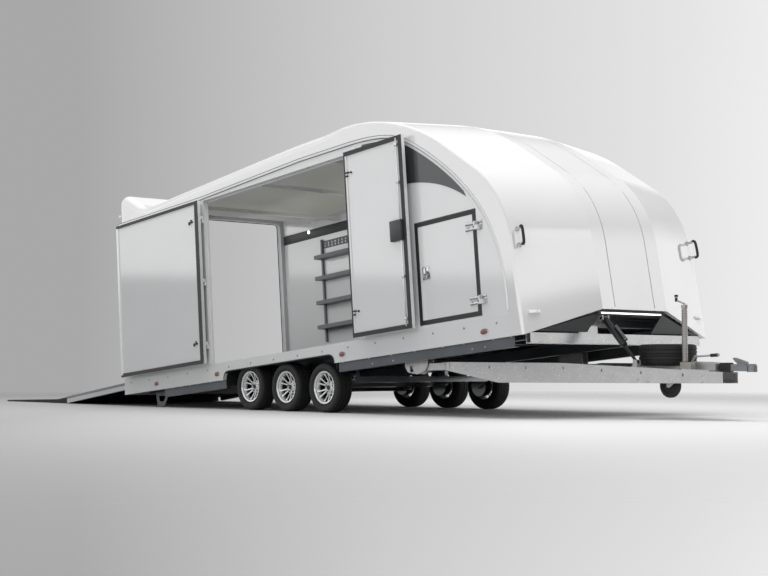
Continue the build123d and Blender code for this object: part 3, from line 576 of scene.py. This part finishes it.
# Clear moulded lens over a white reflector: near white, glossy, with a faint ripple.
clear_lens = finish("clear_moulded_lens", "eceded", 0.12, coat=0.6, grain=4.0, relief=0.15,
                    shade=0.03)
piece("tail_position_lamps", tail_lamps, "bed", clear_lens)

clusters = bmesh.new()
trays = bmesh.new()
for sign in (-1, 1):
    for low, high in CLUSTER_CELLS:
        block(clusters, (-29.5, -18), tuple(sorted((sign * low, sign * high))), (16, 94))
    block(trays, (-18.5, -0.4), tuple(sorted((sign * 899, sign * 1151))), (9, 101))
# Moulded red lens: deep red under a clear shine, ribbed inside.
red_lens = finish("ribbed_red_lens", "8d1713", 0.16, coat=0.6, grain=5.0, relief=0.3, shade=0.06)
piece("tail_lamp_lenses", clusters, "bed", red_lens, bevel=4.0)
piece("tail_lamp_trays", trays, "bed", keeper_black, bevel=4.0)

# ---------------------------------------------------------------- load space
# The floor is phenolic-faced ply with a pressed mesh. White beams cross under the translucent
# roof, and the far wall carries a dark service band with lamps, and a powder-coated tool rack.

LINING_X = range(130, 6700, 90)
LINING_Y = range(-1180, 1181, 59)
LINING_DROP = 2.5
WALL_LAMP_X = (630, 2350, 4050)
TRACK_Y = (-820, -560, 560, 820)

# Phenolic film with a pressed mesh: dark grey, dull and gritty under foot.
ply = finish("mesh_faced_ply", "35363a", 0.55, grain=6.0, relief=0.5, shade=0.1)
dress(ply, "floor_deck")
# Paint on pressed beams: clean white with little shine.
beam_white = finish("white_beam_paint", "eef0f0", 0.35, coat=0.1, grain=3.0, relief=0.03)
dress(beam_white, "roof_beams")
# Powder coat on tube: mid grey with a fine grain.
rack_grey = finish("grey_rack_coat", "6d6f72", 0.42, grain=1.2, relief=0.06, shade=0.05)
dress(rack_grey, "side_rack")

lining = bmesh.new()
courses = []
for x in LINING_X:
    row = [on_roof((x, y, 900), (0, 0, 1)) for y in LINING_Y]
    if all(row):
        courses.append([lining.verts.new(p - Vector((0, 0, LINING_DROP))) for p in row])
for a, b in zip(courses, courses[1:]):
    for n in range(len(a) - 1):
        lining.faces.new((a[n], a[n + 1], b[n + 1], b[n]))
# Uncoated glass-fibre laminate, with a weak warm painted glow that stands in for daylight coming
# through it.
lining_painted_glow = finish("roof_lining_painted_glow", "8f8f88", 0.45, grain=8.0, relief=0.05,
                     shade=0.03, glow=0.14, glow_code="f3f3ea")
piece("roof_lining", lining, "bed", lining_painted_glow)
service = bmesh.new()
block(service, (61, 4680), (1238, 1244.5), (2005, 2128))
piece("service_band", service, "bed", box_black, bevel=2.0)
spots = bmesh.new()
for x in WALL_LAMP_X:
    turned(spots, (x, 1238.2, 2100), (0, -1, 0), [(24, 0), (24, 5), (18, 10), (6, 11)], 24)
# Opal lens over a lit lamp: plain white light.
opal = finish("lit_white_lens", "ffffff", 0.3, grain=4.0, relief=0.02, glow=2.0)
piece("wall_lamps", spots, "bed", opal)
tracks = bmesh.new()
for y in TRACK_Y:
    block(tracks, (150, 6700), (y - 17, y + 17), (200.2, 206))
    block(tracks, (152, 6698), (y - 6, y + 6), (205, 207.5))
# Anodised aluminium, drawn lengthwise: pale grey with fine lines along it.
anodised = finish("anodised_aluminium", "c6c8ca", 0.32, metal=1.0, grain=1.2, relief=0.01,
                  shade=0.03, stretch=(0.05, 1, 1))
piece("lashing_tracks", tracks, "bed", anodised, bevel=1.2)

# ---------------------------------------------------------------- nose
# The moulding is closed below by dark grey panels round a deep recess. A white light strip runs
# under the nose's edge, with a loop handle and a box lamp on each swept cheek.

NOSE_FOOT = 7190
NOSE_RAKE = 0.0935
CHEEK_SLOPE = 0.2798
CHEEK_START = 453
HANDLE_HALF = 1203
HANDLE_Z = 885
HANDLE_LEAN = 0.03
FOOT_FORM = [(22, -2), (22, 3), (17, 8), (12, 20), (12, 66)]
GRIP_ARC = [(0, -80, 56), (0, -84, 72), (0, -76, 84), (0, -55, 89), (0, 0, 91), (0, 55, 89),
            (0, 76, 84), (0, 84, 72), (0, 80, 56)]
LAMP_HALF = 1156
LAMP_Z = 200


def on_cheek(sign, half, z, lean):
    """Frame on a cheek at a distance half from the middle: X across it, Y up it, Z out of it."""
    spot = Vector((NOSE_FOOT - NOSE_RAKE * z - CHEEK_SLOPE * (half - CHEEK_START), -half, z))
    across = Vector((CHEEK_SLOPE, 1, 0)).normalized()
    out = Vector((1, -CHEEK_SLOPE, lean)).normalized()
    turn = Matrix((across, out.cross(across), out)).transposed().to_4x4()
    return BED @ Matrix.Scale(-sign, 4, (0, 1, 0)) @ Matrix.Translation(spot) @ turn


# Moulded dark grey plastic: satin, slightly uneven in tone.
recess_grey = finish("dark_grey_panel", "3a3b3d", 0.35, grain=3.0, relief=0.05, shade=0.06)
dress(recess_grey, "nose_underside")
light_strip = bmesh.new()
block(light_strip, (7113, 7125.8), (-419, 419), (187, 199.5))
piece("nose_light_strip", light_strip, "bed", opal, bevel=2.0)
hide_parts("lamps")

for name, sign in (("right", -1), ("left", 1)):
    feet = bmesh.new()
    for y in (-75, 75):
        turned(feet, (0, y, 0.8), (0, 0, 1), FOOT_FORM, 20)
    on_it = on_cheek(sign, HANDLE_HALF, HANDLE_Z, NOSE_RAKE + HANDLE_LEAN)
    feet_piece = piece(f"handle_feet_{name}", feet, "bed", plated, on_it)
    handle = bmesh.new()
    bar(handle, GRIP_ARC, 13.5, 14)
    piece(f"handle_grip_{name}", handle, "bed", keeper_black, on_it)
    if sign < 0:
        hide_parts("grab_handles")
    lamp = bmesh.new()
    block(lamp, (-59, 24), (-15.5, 15.5), (0.5, 25.5))
    block(lamp, (28, 59), (-14, 14), (0.5, 22))
    piece(f"cheek_lamp_{name}", lamp, "bed", clear_lens,
          on_cheek(sign, LAMP_HALF, LAMP_Z, NOSE_RAKE), bevel=3.5)

# ---------------------------------------------------------------- chassis and axles
# Folded channels and cross members, hot-dip galvanised, which leaves a mottled grey spangle.
# Three rubber torsion axles carry the body, and flanged bolts hold the rails to the sills.

SILL_Y = 1240
RAIL_BOLT_X = (1065, 1270, 1440, 1610, 1880, 2120, 4330, 4753, 5098, 5443, 5849, 6137, 6530, 6760)
RAIL_BOLT = [(11, -0.5), (11, 2), (8, 2.5), (8, 8), (6, 9)]
LOW_BOLT_X = (4799, 5120, 6249, 6420)
LOW_BOLT = [(9, -0.5), (9, 2), (6.5, 2.5), (6.5, 7), (5, 8)]

# Hot-dip galvanised steel: pale and bright, with a spangle of 14 mm crystals.
galvanised = finish("hot_dip_galvanised", "cbced1", 0.26, metal=0.7, grain=8.0, relief=0.012,
                    shade=0.05, patch=90.0, spangle=14.0)
dress(galvanised, "hinge_brackets", "front_crossmember", "drawbar_frame", "jockey_fork")
# The same zinc painted dark grey for the shade under the skirts and floor, and soft in its shine.
shaded_rail_zinc = finish("shaded_galvanised_rail", "6e7276", 0.3, metal=0.9, grain=8.0, relief=0.02,
                   shade=0.08, patch=300.0)
dress(shaded_rail_zinc, "chassis_rails", "cross_bearers", "steady_legs")
# Zinc plate on rolled tube: smooth, and bright along its upper edge.
bright_beam = finish("zinc_axle_beam", "9b9da0", 0.16, metal=1.0, grain=6.0, relief=0.01,
                     shade=0.08)
dress(bright_beam, "axle_front", "axle_middle", "axle_rear")

bolts = bmesh.new()
for sign in (-1, 1):
    for x in RAIL_BOLT_X:
        turned(bolts, (x, sign * SILL_Y, 2), (0, sign, 0), RAIL_BOLT, 12)
for x in LOW_BOLT_X:
    for sign in (-1, 1):
        turned(bolts, (x, sign * SILL_Y, -60), (0, sign, 0), LOW_BOLT, 12)
# Zinc-plated bolts: small bright heads with sharp edges.
zinc = finish("zinc_plated_steel", "b4b6b9", 0.3, metal=1.0, grain=1.5, relief=0.02, shade=0.05)
piece("sill_bolts", bolts, "bed", zinc)

# ---------------------------------------------------------------- wheels
# Low-profile trailer tyres on deep-dished cast alloy rims, bolted on by five studs. Four grooves
# part the tread, and sipes cross its shoulders. The spare lies flat on the drawbar.

GROUND = Matrix.Translation((-5.1, 0, -0.445)) @ Matrix.Scale(MILLIMETRE, 4)
TREAD = [(257, 71.5), (259.5, 62), (259.6, 49), (252, 47.5), (252, 41.5), (259.8, 40), (260, 15),
         (252, 13.5), (252, 7.5), (260, 6)]
SIDE = [(167, 76), (174, 80), (184, 84), (190, 92), (204, 96.6), (212, 97.2), (226, 96.9),
        (230, 97.4), (236, 95.5), (249, 89), (254, 80)]
PITCHES = 46
SIPE_DEPTH = 5
SHOULDER_Y = 48
SHOULDER_RADIUS = 248
WELL = [(154, -80), (171, -82), (172, -86), (166, -88), (150, -80), (148, -60), (143, -40),
        (143, 20), (154, 20)]
RIM = [(154, 20.2), (143, 20.2), (143, 38), (150, 58), (157, 70), (164, 80), (168, 88), (172, 86),
       (171, 82), (154, 80)]
HUB = [(22, -4), (60, -4), (72, 0), (74, 10), (70, 16), (44, 14), (34, 20), (32, 27), (22, 27)]
SPOKE = ((60, 10, 10, 20, 0), (86, 23, 9, 15, 0.4), (118, 38, 9.5, 13, 0.75), (146, 53, 13, 14, 1))
SPOKE_PAIRS = 6
STUDS = 5
STUD_CIRCLE = 56
AXLES = (("front", 668), ("middle", 0), ("rear", -668))
TRACK_HALF = 1140
WHEEL_RADIUS = 260
SPARE_X = 4185
SPARE_Z = 575.5


def tyre_shape():
    """A tyre about the Y axis; every pitch of the tread ends in a sipe across the shoulders."""
    half = SIDE + TREAD
    section = [(r, -y) for r, y in half] + [(r, y) for r, y in half[::-1]]
    shape = bmesh.new()
    rings = []
    for pitch in range(PITCHES):
        for part, cut in ((0.0, False), (0.80, False), (0.82, True), (0.98, True)):
            turn = 2 * pi * (pitch + part) / PITCHES
            ring = []
            for r, y in section:
                if cut and abs(y) > SHOULDER_Y and r > SHOULDER_RADIUS:
                    r -= SIPE_DEPTH
                ring.append(shape.verts.new((r * sin(turn), y, r * cos(turn))))
            rings.append(ring)
    skin(shape, rings + rings[:1])
    return shape


def spoke(shape, turn_in, turn_out):
    """One tapered spoke from the hub's edge out to the rim."""
    rings = []
    for r, y, wide, deep, share in SPOKE:
        turn = turn_in + (turn_out - turn_in) * share
        out = Vector((sin(turn), 0, cos(turn)))
        side = Vector((cos(turn), 0, -sin(turn)))
        spot = out * r + Vector((0, y, 0))
        rings.append([shape.verts.new(spot + side * a * wide + Vector((0, b * deep / 2, 0)))
                      for a, b in ((-1, -1), (-0.8, 1), (0.8, 1), (1, -1))])
    skin(shape, rings, ends=True)


def rim_shape():
    """The rim's outer half, its hub and its paired spokes."""
    shape = bmesh.new()
    turned(shape, (0, 0, 0), (0, 1, 0), RIM, 72, close=True)
    turned(shape, (0, 0, 0), (0, 1, 0), HUB, 48, close=True)
    for n in range(SPOKE_PAIRS):
        for way in (-1, 1):
            spoke(shape, radians(60 * n + way * 9), radians(60 * n + way * 13))
    return shape


def cap_shape():
    """The hub's cap and the wheel studs round it."""
    shape = bmesh.new()
    turned(shape, (0, 24, 0), (0, 1, 0), [(26, 0), (26, 6), (23, 9), (8, 10)], 32)
    for n in range(STUDS):
        turn = 2 * pi * n / STUDS
        turned(shape, (STUD_CIRCLE * sin(turn), 13, STUD_CIRCLE * cos(turn)), (0, 1, 0),
               [(8.5, 0), (8.5, 7), (6, 10)], 6)
    return shape


# Tyre rubber: a dusty black with no shine.
tyre_black = finish("tyre_rubber", "19191a", 0.66, grain=2.0, relief=0.12, shade=0.12)
# Cast alloy under silver lacquer: bright, with a clear coat over its soft metal sheen.
alloy = finish("silver_lacquered_alloy", "dfe0e1", 0.26, metal=0.75, coat=0.4, grain=1.5,
               relief=0.01, shade=0.04)
# The same alloy painted dark as the shade inside the deep dish, so that the spokes stand out
# before it.
rim_well_shade = finish("shaded_rim_well", "303133", 0.45, metal=0.7, grain=2.0, relief=0.05, shade=0.1)
# Pressed black plastic cap: a small satin black disc.
hub_black = finish("black_hub_cap", "101011", 0.35, grain=2.0, relief=0.03)

wheels = [("spare", "drawbar", GROUND @ Matrix.Translation((SPARE_X, 0, SPARE_Z))
           @ Matrix.Rotation(pi / 2, 4, "X"))]
wheels += [(f"{axle}_{side}", f"wheel_{axle}_{side}",
            GROUND @ Matrix.Translation((x, sign * TRACK_HALF, WHEEL_RADIUS))
            @ Matrix.Scale(sign, 4, (0, 1, 0)))
           for axle, x in AXLES for side, sign in (("left", 1), ("right", -1))]
for label, body, place in wheels:
    tyre_piece = piece(f"tyre_detail_{label}", tyre_shape(), body, tyre_black,
                       place)
    rim_piece = piece(f"rim_detail_{label}", rim_shape(), body, alloy, place, bevel=1.2)
    well = bmesh.new()
    turned(well, (0, 0, 0), (0, 1, 0), WELL, 72, close=True)
    piece(f"rim_well_{label}", well, body, rim_well_shade, place)
    piece(f"hub_cap_{label}", cap_shape(), body, hub_black, place)
    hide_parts("spare_tyre" if label == "spare" else f"tyre_{label}")
    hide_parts("spare_rim" if label == "spare" else f"rim_{label}")

# ---------------------------------------------------------------- drawbar
# Two galvanised channels meet at the overrun coupling and hinge under the floor, so that the bed
# can tip. Slots punched in their webs are drawn as thin black sheets of painted shade, and bolts
# hold the plates between them. The overrun unit is cast and the head zinc plated.

ARM_FOOT = (2440, 1100)
ARM_HEAD = (4860, 80)
ARM_TURN = atan2(ARM_HEAD[1] - ARM_FOOT[1], ARM_HEAD[0] - ARM_FOOT[0])
ARM_RATIO = 1 / cos(ARM_TURN)
ARM_BEND = 3500
SLOT_X = (2838, 3175, 3512, 3849, 4186, 4535)
ARM_BOLTS = ((4162, 105), (4243, 125), (4690, 40), (4690, 95))
ARM_BOLT = [(10, -0.5), (10, 2), (7.5, 2.5), (7.5, 8), (5, 9)]


def arm_top(x):
    """Height of an arm's upper edge above the ground, level behind its bend and falling ahead."""
    if x < ARM_BEND:
        return 517 - 12 * (x - ARM_FOOT[0]) / 1060
    return 505 - 82 * (x - ARM_BEND) / 1360


# Sand-cast iron under zinc paint: light grey, grainy and soft in its shine.
cast_grey = finish("grey_cast_housing", "b9bbba", 0.36, metal=0.5, grain=3.0, relief=0.15,
                   shade=0.08)
dress(cast_grey, "overrun_housing", "handbrake_lever")
# Moulded rubber: black and matt in its folds.
bellows_black = finish("black_bellows_rubber", "1a1a1b", 0.55, grain=3.0, relief=0.1)
dress(bellows_black, "overrun_bellows")
# Zinc plate on a rough casting: mid grey, with worn patches.
cast_zinc = finish("zinc_plated_casting", "8f9295", 0.35, metal=0.8, grain=2.5, relief=0.1,
                   shade=0.1)
dress(cast_zinc, "coupling_head")

for name, sign in (("right", -1), ("left", 1)):
    arm = (GROUND @ Matrix.Scale(sign, 4, (0, 1, 0)) @ Matrix.Translation((*ARM_FOOT, 0))
           @ Matrix.Rotation(ARM_TURN, 4, "Z"))
    # Each slot is a thin black sheet on the web's face: painted shade standing in for the dark
    # hole.
    slots = bmesh.new()
    for x in SLOT_X:
        far = (x - ARM_FOOT[0]) * ARM_RATIO
        block(slots, (far - 6, far + 6), (29.6, 30.5), (arm_top(x) - 58, arm_top(x) - 34))
    piece(f"arm_slot_shade_{name}", slots, "drawbar", black_sealant_and_slot_shade, arm)
    heads = bmesh.new()
    for x, drop in ARM_BOLTS:
        turned(heads, ((x - ARM_FOOT[0]) * ARM_RATIO, 30, arm_top(x) - drop), (0, 1, 0),
               ARM_BOLT, 12)
    piece(f"arm_bolts_{name}", heads, "drawbar", zinc, arm)

grip = bmesh.new()
turned(grip, (4716, -66, 568.4), (1, 0, 0.0485),
       [(14.6, 0), (15.5, 6), (15, 40), (15.5, 76), (13, 84)], 16)
piece("handbrake_grip", grip, "drawbar", keeper_black, GROUND)

# ---------------------------------------------------------------- jockey stand
# A telescopic tube clamped to the front plate, with a screw inside and a crank on top. Below it
# a folded fork carries a solid rubber wheel, wound up clear of the ground.

POST_X = 4490
POST_Y = -140
SLEEVE_FOOT = 511
SLEEVE_TOP = 984
RIDGES = 21
RIDGE_PITCH = 22
KNOB_FORM = [(12, 0), (13, 10), (12, 34), (17, 46), (18, 54), (12, 61)]

# Drawn steel tube, zinc plated and brushed by use: a warm grey with a soft streak of light.
post_zinc = finish("brushed_zinc_tube", "b7b3ab", 0.34, metal=0.8, grain=2.0, relief=0.03,
                   shade=0.08)
dress(post_zinc, "jockey_post")
# Solid rubber: dull black, scuffed to grey in places.
jockey_rubber = finish("solid_rubber_tyre", "1d1d1e", 0.7, grain=2.0, relief=0.12, shade=0.1)
dress(jockey_rubber, "jockey_wheel")
sleeve = bmesh.new()
profile = [(24.2, SLEEVE_FOOT)]
for n in range(RIDGES):
    z = SLEEVE_FOOT + 7 + n * RIDGE_PITCH
    profile += [(24.3, z), (27.4, z + 4), (27.4, z + 9), (24.3, z + 13)]
turned(sleeve, (POST_X, POST_Y, 0), (0, 0, 1), profile + [(24.2, SLEEVE_TOP)], 24)
# Rolled zinc sleeve: its ridges catch the light as fine bright rings.
sleeve_zinc = finish("ribbed_zinc_sleeve", "a3a29d", 0.3, metal=0.85, grain=2.0, relief=0.03,
                     shade=0.06)
piece("jockey_sleeve", sleeve, "drawbar", sleeve_zinc, GROUND)
knob = bmesh.new()
turned(knob, (4400, POST_Y, 1050), (0, 0, 1), KNOB_FORM, 18)
piece("crank_knob", knob, "drawbar", keeper_black, GROUND)

# ---------------------------------------------------------------- tilting ram
# A hydraulic ram pinned between the front beam and the drawbar lifts the nose. Its barrel is
# black enamel, its rod dark, and a slim dull cylinder is strapped alongside.

RAM = (GROUND @ Matrix.Translation((3733.2, -350, 916.8))
       @ Matrix.Rotation(radians(136.46), 4, "Y"))
SLIM_FORM = [(10, -3), (15.6, 0), (15.6, 150), (16.4, 152), (16.4, 172), (15.6, 174), (15.6, 180),
             (10, 183)]
COLLAR_FORM = [(31, 0), (33.5, 2), (33.5, 24), (31, 26)]
COLLAR_LOW = (22, 318)

# Stoved enamel: a deep black with a close shine.
ram_enamel = finish("black_enamel", "141415", 0.25, coat=0.4, grain=3.0, relief=0.02)
dress(ram_enamel, "ram_barrel")
# Hard chrome given a dark colour, with a narrow highlight.
dark_rod_chrome = finish("dark_chrome_rod", "2c2d2f", 0.2, metal=0.6, grain=2.0, relief=0.01)
dress(dark_rod_chrome, "ram_rod")
slim = bmesh.new()
turned(slim, (-49, 0, 150), (0, 0, 1), SLIM_FORM, 20)
# Drawn steel tube, unplated: plain mid grey.
dull_tube = finish("dull_steel_tube", "77797c", 0.3, metal=0.9, grain=1.5, relief=0.02)
piece("ram_side_cylinder", slim, "ram_barrel", dull_tube, RAM)
collars = bmesh.new()
for low in COLLAR_LOW:
    turned(collars, (0, 0, low), (0, 0, 1), COLLAR_FORM, 28)
piece("ram_collars", collars, "ram_barrel", ram_enamel, RAM)

# ---------------------------------------------------------------- ramp and flap
# Aluminium side rails hold a black deck coated with grit, with raised grip bars across it. The
# flap that meets the ground is the same, and folds back over the deck.

RAMP_SLOPE = radians(7.15)
RAMP = (BED @ Matrix.Translation((-24, 0, 145)) @ Matrix.Rotation(BED_TILT, 4, "Y")
        @ Matrix.Rotation(-RAMP_SLOPE, 4, "Y") @ Matrix.Rotation(pi, 4, "Z"))
GRIP_PITCH = 64
GRIP_WIDTH = 14
RAMP_GRIPS = 32
FLAP_GRIPS = 20
FLAP_HINGE = -5448.4
FLAP_GAP = 7

# Extruded aluminium, drawn lengthwise: bright, with fine lines along the rail.
ramp_rail = finish("bright_ramp_rail", "cfd1d3", 0.3, metal=0.9, grain=1.5, relief=0.02,
                   shade=0.04, stretch=(0.05, 1, 1))
dress(ramp_rail, "ramp_rails")
# Paint strewn with grit: a rough dead black that hardly reflects.
grit = finish("black_grit_coat", "1b1b1d", 0.75, grain=2.5, relief=0.5, shade=0.12)
dress(grit, "ramp_deck", "ramp_flap")
ramp_ribs = bmesh.new()
for n in range(RAMP_GRIPS):
    far = 60 + n * GRIP_PITCH
    block(ramp_ribs, (far, far + GRIP_WIDTH), (-1180, 1180), (11.5, 15))
piece("ramp_grip_bars", ramp_ribs, "ramp", grit, RAMP, bevel=1.5)
bands = bmesh.new()
for side in (-1, 1):
    block(bands, (17, 1562), tuple(sorted((side * 1233, side * 1236.5))), (-20, 11.6))
# Aluminium edge: a grey, nearly matt band, darker than the rail beside it.
edge_band = finish("grey_rail_top", "7f8183", 0.5, metal=0.5, grain=3.0, relief=0.05,
                   shade=0.08)
piece("ramp_edge_bands", bands, "ramp", edge_band, RAMP, bevel=1.0)
flap_ribs = bmesh.new()
for n in range(FLAP_GRIPS):
    far = FLAP_HINGE - FLAP_GAP - 50 - n * GRIP_PITCH
    block(flap_ribs, (far - GRIP_WIDTH, far), (-1165, 1165), (17.5, 20.5))
piece("flap_grip_bars", flap_ribs, "ramp_flap", grit, GROUND, bevel=1.5)

# ---------------------------------------------------------------- studio
# A pale floor that fades out, in a room that is bright above a dark strip at the horizon, which
# the gloss of the panels shows as a soft step. A dark patch rises ahead of the nose, the strip is
# cleared behind the far side, and what is seen past the floor is a plain pale tone.

VIEW_TURN = 50.017
FLOOR_HALF = 30
FADE_START = 7.0
FADE_END = 16.0
SCREEN_RIGHT = (0.643, 0.766, 0)
DARK_WAY = (0.985, 0.17, 0)
DARK_EDGE = (0.80, 0.90)
DARK_RISE = 0.28
CLEAR_WAY = (-0.766, 0.643, 0)
CLEAR_EDGE = (0.45, 0.65)
CLEAR_DROP = 0.12
SIDE_VIEW = 0.254
ROOM_LIGHT = ((0.061, 0.08), (0.067, 0.95), (0.32, 0.9), (0.5, 0.35))
LAMPS = (("overhead", (-4, -1, 8), (0, 0, 0), (14, 7), 1150),
         ("front_fill", (6, -12, 5), (62, 0, 25), (8, 5), 60),
         ("load_space", (-6.5, 0, 1.2), (90, 0, 0), (5, 1), 16))

sheet = bmesh.new()
sheet.faces.new([sheet.verts.new((a * FLOOR_HALF, b * FLOOR_HALF, 0))
                 for a, b in ((-1, -1), (1, -1), (1, 1), (-1, 1))])
floor_mesh = bpy.data.meshes.new("studio_floor")
sheet.to_mesh(floor_mesh)
sheet.free()
# Studio floor: matt, with painted shade darkening one side, gone before it could show an edge.
paint = bpy.data.materials.new("studio_floor_paint")
paint.use_nodes = True
tree = paint.node_tree
tree.nodes.clear()
flat = add(tree, "TexCoord")
sides = add(tree, "SeparateXYZ", {"Vector": (flat, "Object")})
share = add(tree, "MapRange", {"Value": (sides, "X"), "From Min": -2.6, "From Max": 1.9})
painted_floor_shade = add(tree, "ValToRGB", {"Fac": (share, "Result")},
            stops=((0.0, tone("9c9c9c")), (1.0, tone("cfcfcf"))))
shader = add(tree, "BsdfPrincipled", {"Base Color": (painted_floor_shade, "Color"), "Roughness": 0.8})
distance = add(tree, "VectorMath", {0: (flat, "Object")}, operation="LENGTH")
fade = add(tree, "MapRange", {"Value": (distance, "Value"), "From Min": FADE_START,
                              "From Max": FADE_END}, interpolation_type="SMOOTHSTEP")
through = add(tree, "BsdfTransparent")
soft = add(tree, "MixShader", {"Fac": (fade, "Result"), 1: (shader, "BSDF"),
                               2: (through, "BSDF")})
add(tree, "OutputMaterial", {"Surface": (soft, "Shader")})
floor_mesh.materials.append(paint)
floor = bpy.data.objects.new("studio_floor", floor_mesh)
floor.location = (-6, 0, -0.4452)
floor.rotation_euler = (0, 0, radians(VIEW_TURN))
bpy.context.scene.collection.objects.link(floor)

world = bpy.data.worlds.new("studio")
bpy.context.scene.world = world
world.use_nodes = True
sky = world.node_tree
sky.nodes.clear()
look = add(sky, "TexCoord")
split = add(sky, "SeparateXYZ", {"Vector": (look, "Generated")})
to_dark = add(sky, "VectorMath", {0: (look, "Generated"), 1: DARK_WAY}, operation="DOT_PRODUCT")
risen = add(sky, "MapRange", {"Value": (to_dark, "Value"), "From Min": DARK_EDGE[0],
                              "From Max": DARK_EDGE[1], "To Max": DARK_RISE})
to_clear = add(sky, "VectorMath", {0: (look, "Generated"), 1: CLEAR_WAY}, operation="DOT_PRODUCT")
cleared = add(sky, "MapRange", {"Value": (to_clear, "Value"), "From Min": CLEAR_EDGE[0],
                                "From Max": CLEAR_EDGE[1], "To Max": CLEAR_DROP})
height = add(sky, "Math", {0: (split, "Z"), 1: (cleared, "Result")}, operation="ADD")
level = add(sky, "Math", {0: (height, "Value"), 1: (risen, "Result")}, operation="SUBTRACT")
room = add(sky, "ValToRGB", {"Fac": (level, "Value")},
           stops=[(z, (v, v, v, 1)) for z, v in ROOM_LIGHT])
to_right = add(sky, "VectorMath", {0: (look, "Generated"), 1: SCREEN_RIGHT},
               operation="DOT_PRODUCT")
across = add(sky, "MapRange", {"Value": (to_right, "Value"), "From Min": -SIDE_VIEW,
                                "From Max": SIDE_VIEW})
backdrop = add(sky, "ValToRGB", {"Fac": (across, "Result")},
               stops=((0.1, tone("a8a8a8")), (0.5, tone("cecece")), (0.88, tone("e4e4e4")),
                      (1.0, tone("ededed"))))
lit = add(sky, "Background", {"Color": (room, "Color"), "Strength": 1.5})
seen = add(sky, "Background", {"Color": (backdrop, "Color"), "Strength": 1.0})
rays = add(sky, "LightPath")
both = add(sky, "MixShader", {"Fac": (rays, "Is Camera Ray"), 1: (lit, "Background"),
                               2: (seen, "Background")})
add(sky, "OutputWorld", {"Surface": (both, "Shader")})

for name, spot, turn, size, power in LAMPS:
    light = bpy.data.lights.new(name, "AREA")
    light.shape = "RECTANGLE"
    light.size, light.size_y = size
    light.energy = power
    holder = bpy.data.objects.new(name, light)
    holder.location = spot
    holder.rotation_euler = [radians(a) for a in turn]
    holder.visible_glossy = False
    bpy.context.scene.collection.objects.link(holder)
bpy.context.scene.view_settings.view_transform = "Standard"

lens_data = bpy.data.cameras.new("camera")
lens_data.lens = 68.71
lens_data.sensor_width = 36
camera = bpy.data.objects.new("camera", lens_data)
camera.location = (7.6365, -10.535, -0.0101)
camera.rotation_euler = (radians(93.228), 0, radians(VIEW_TURN))
bpy.context.scene.collection.objects.link(camera)
bpy.context.scene.camera = camera
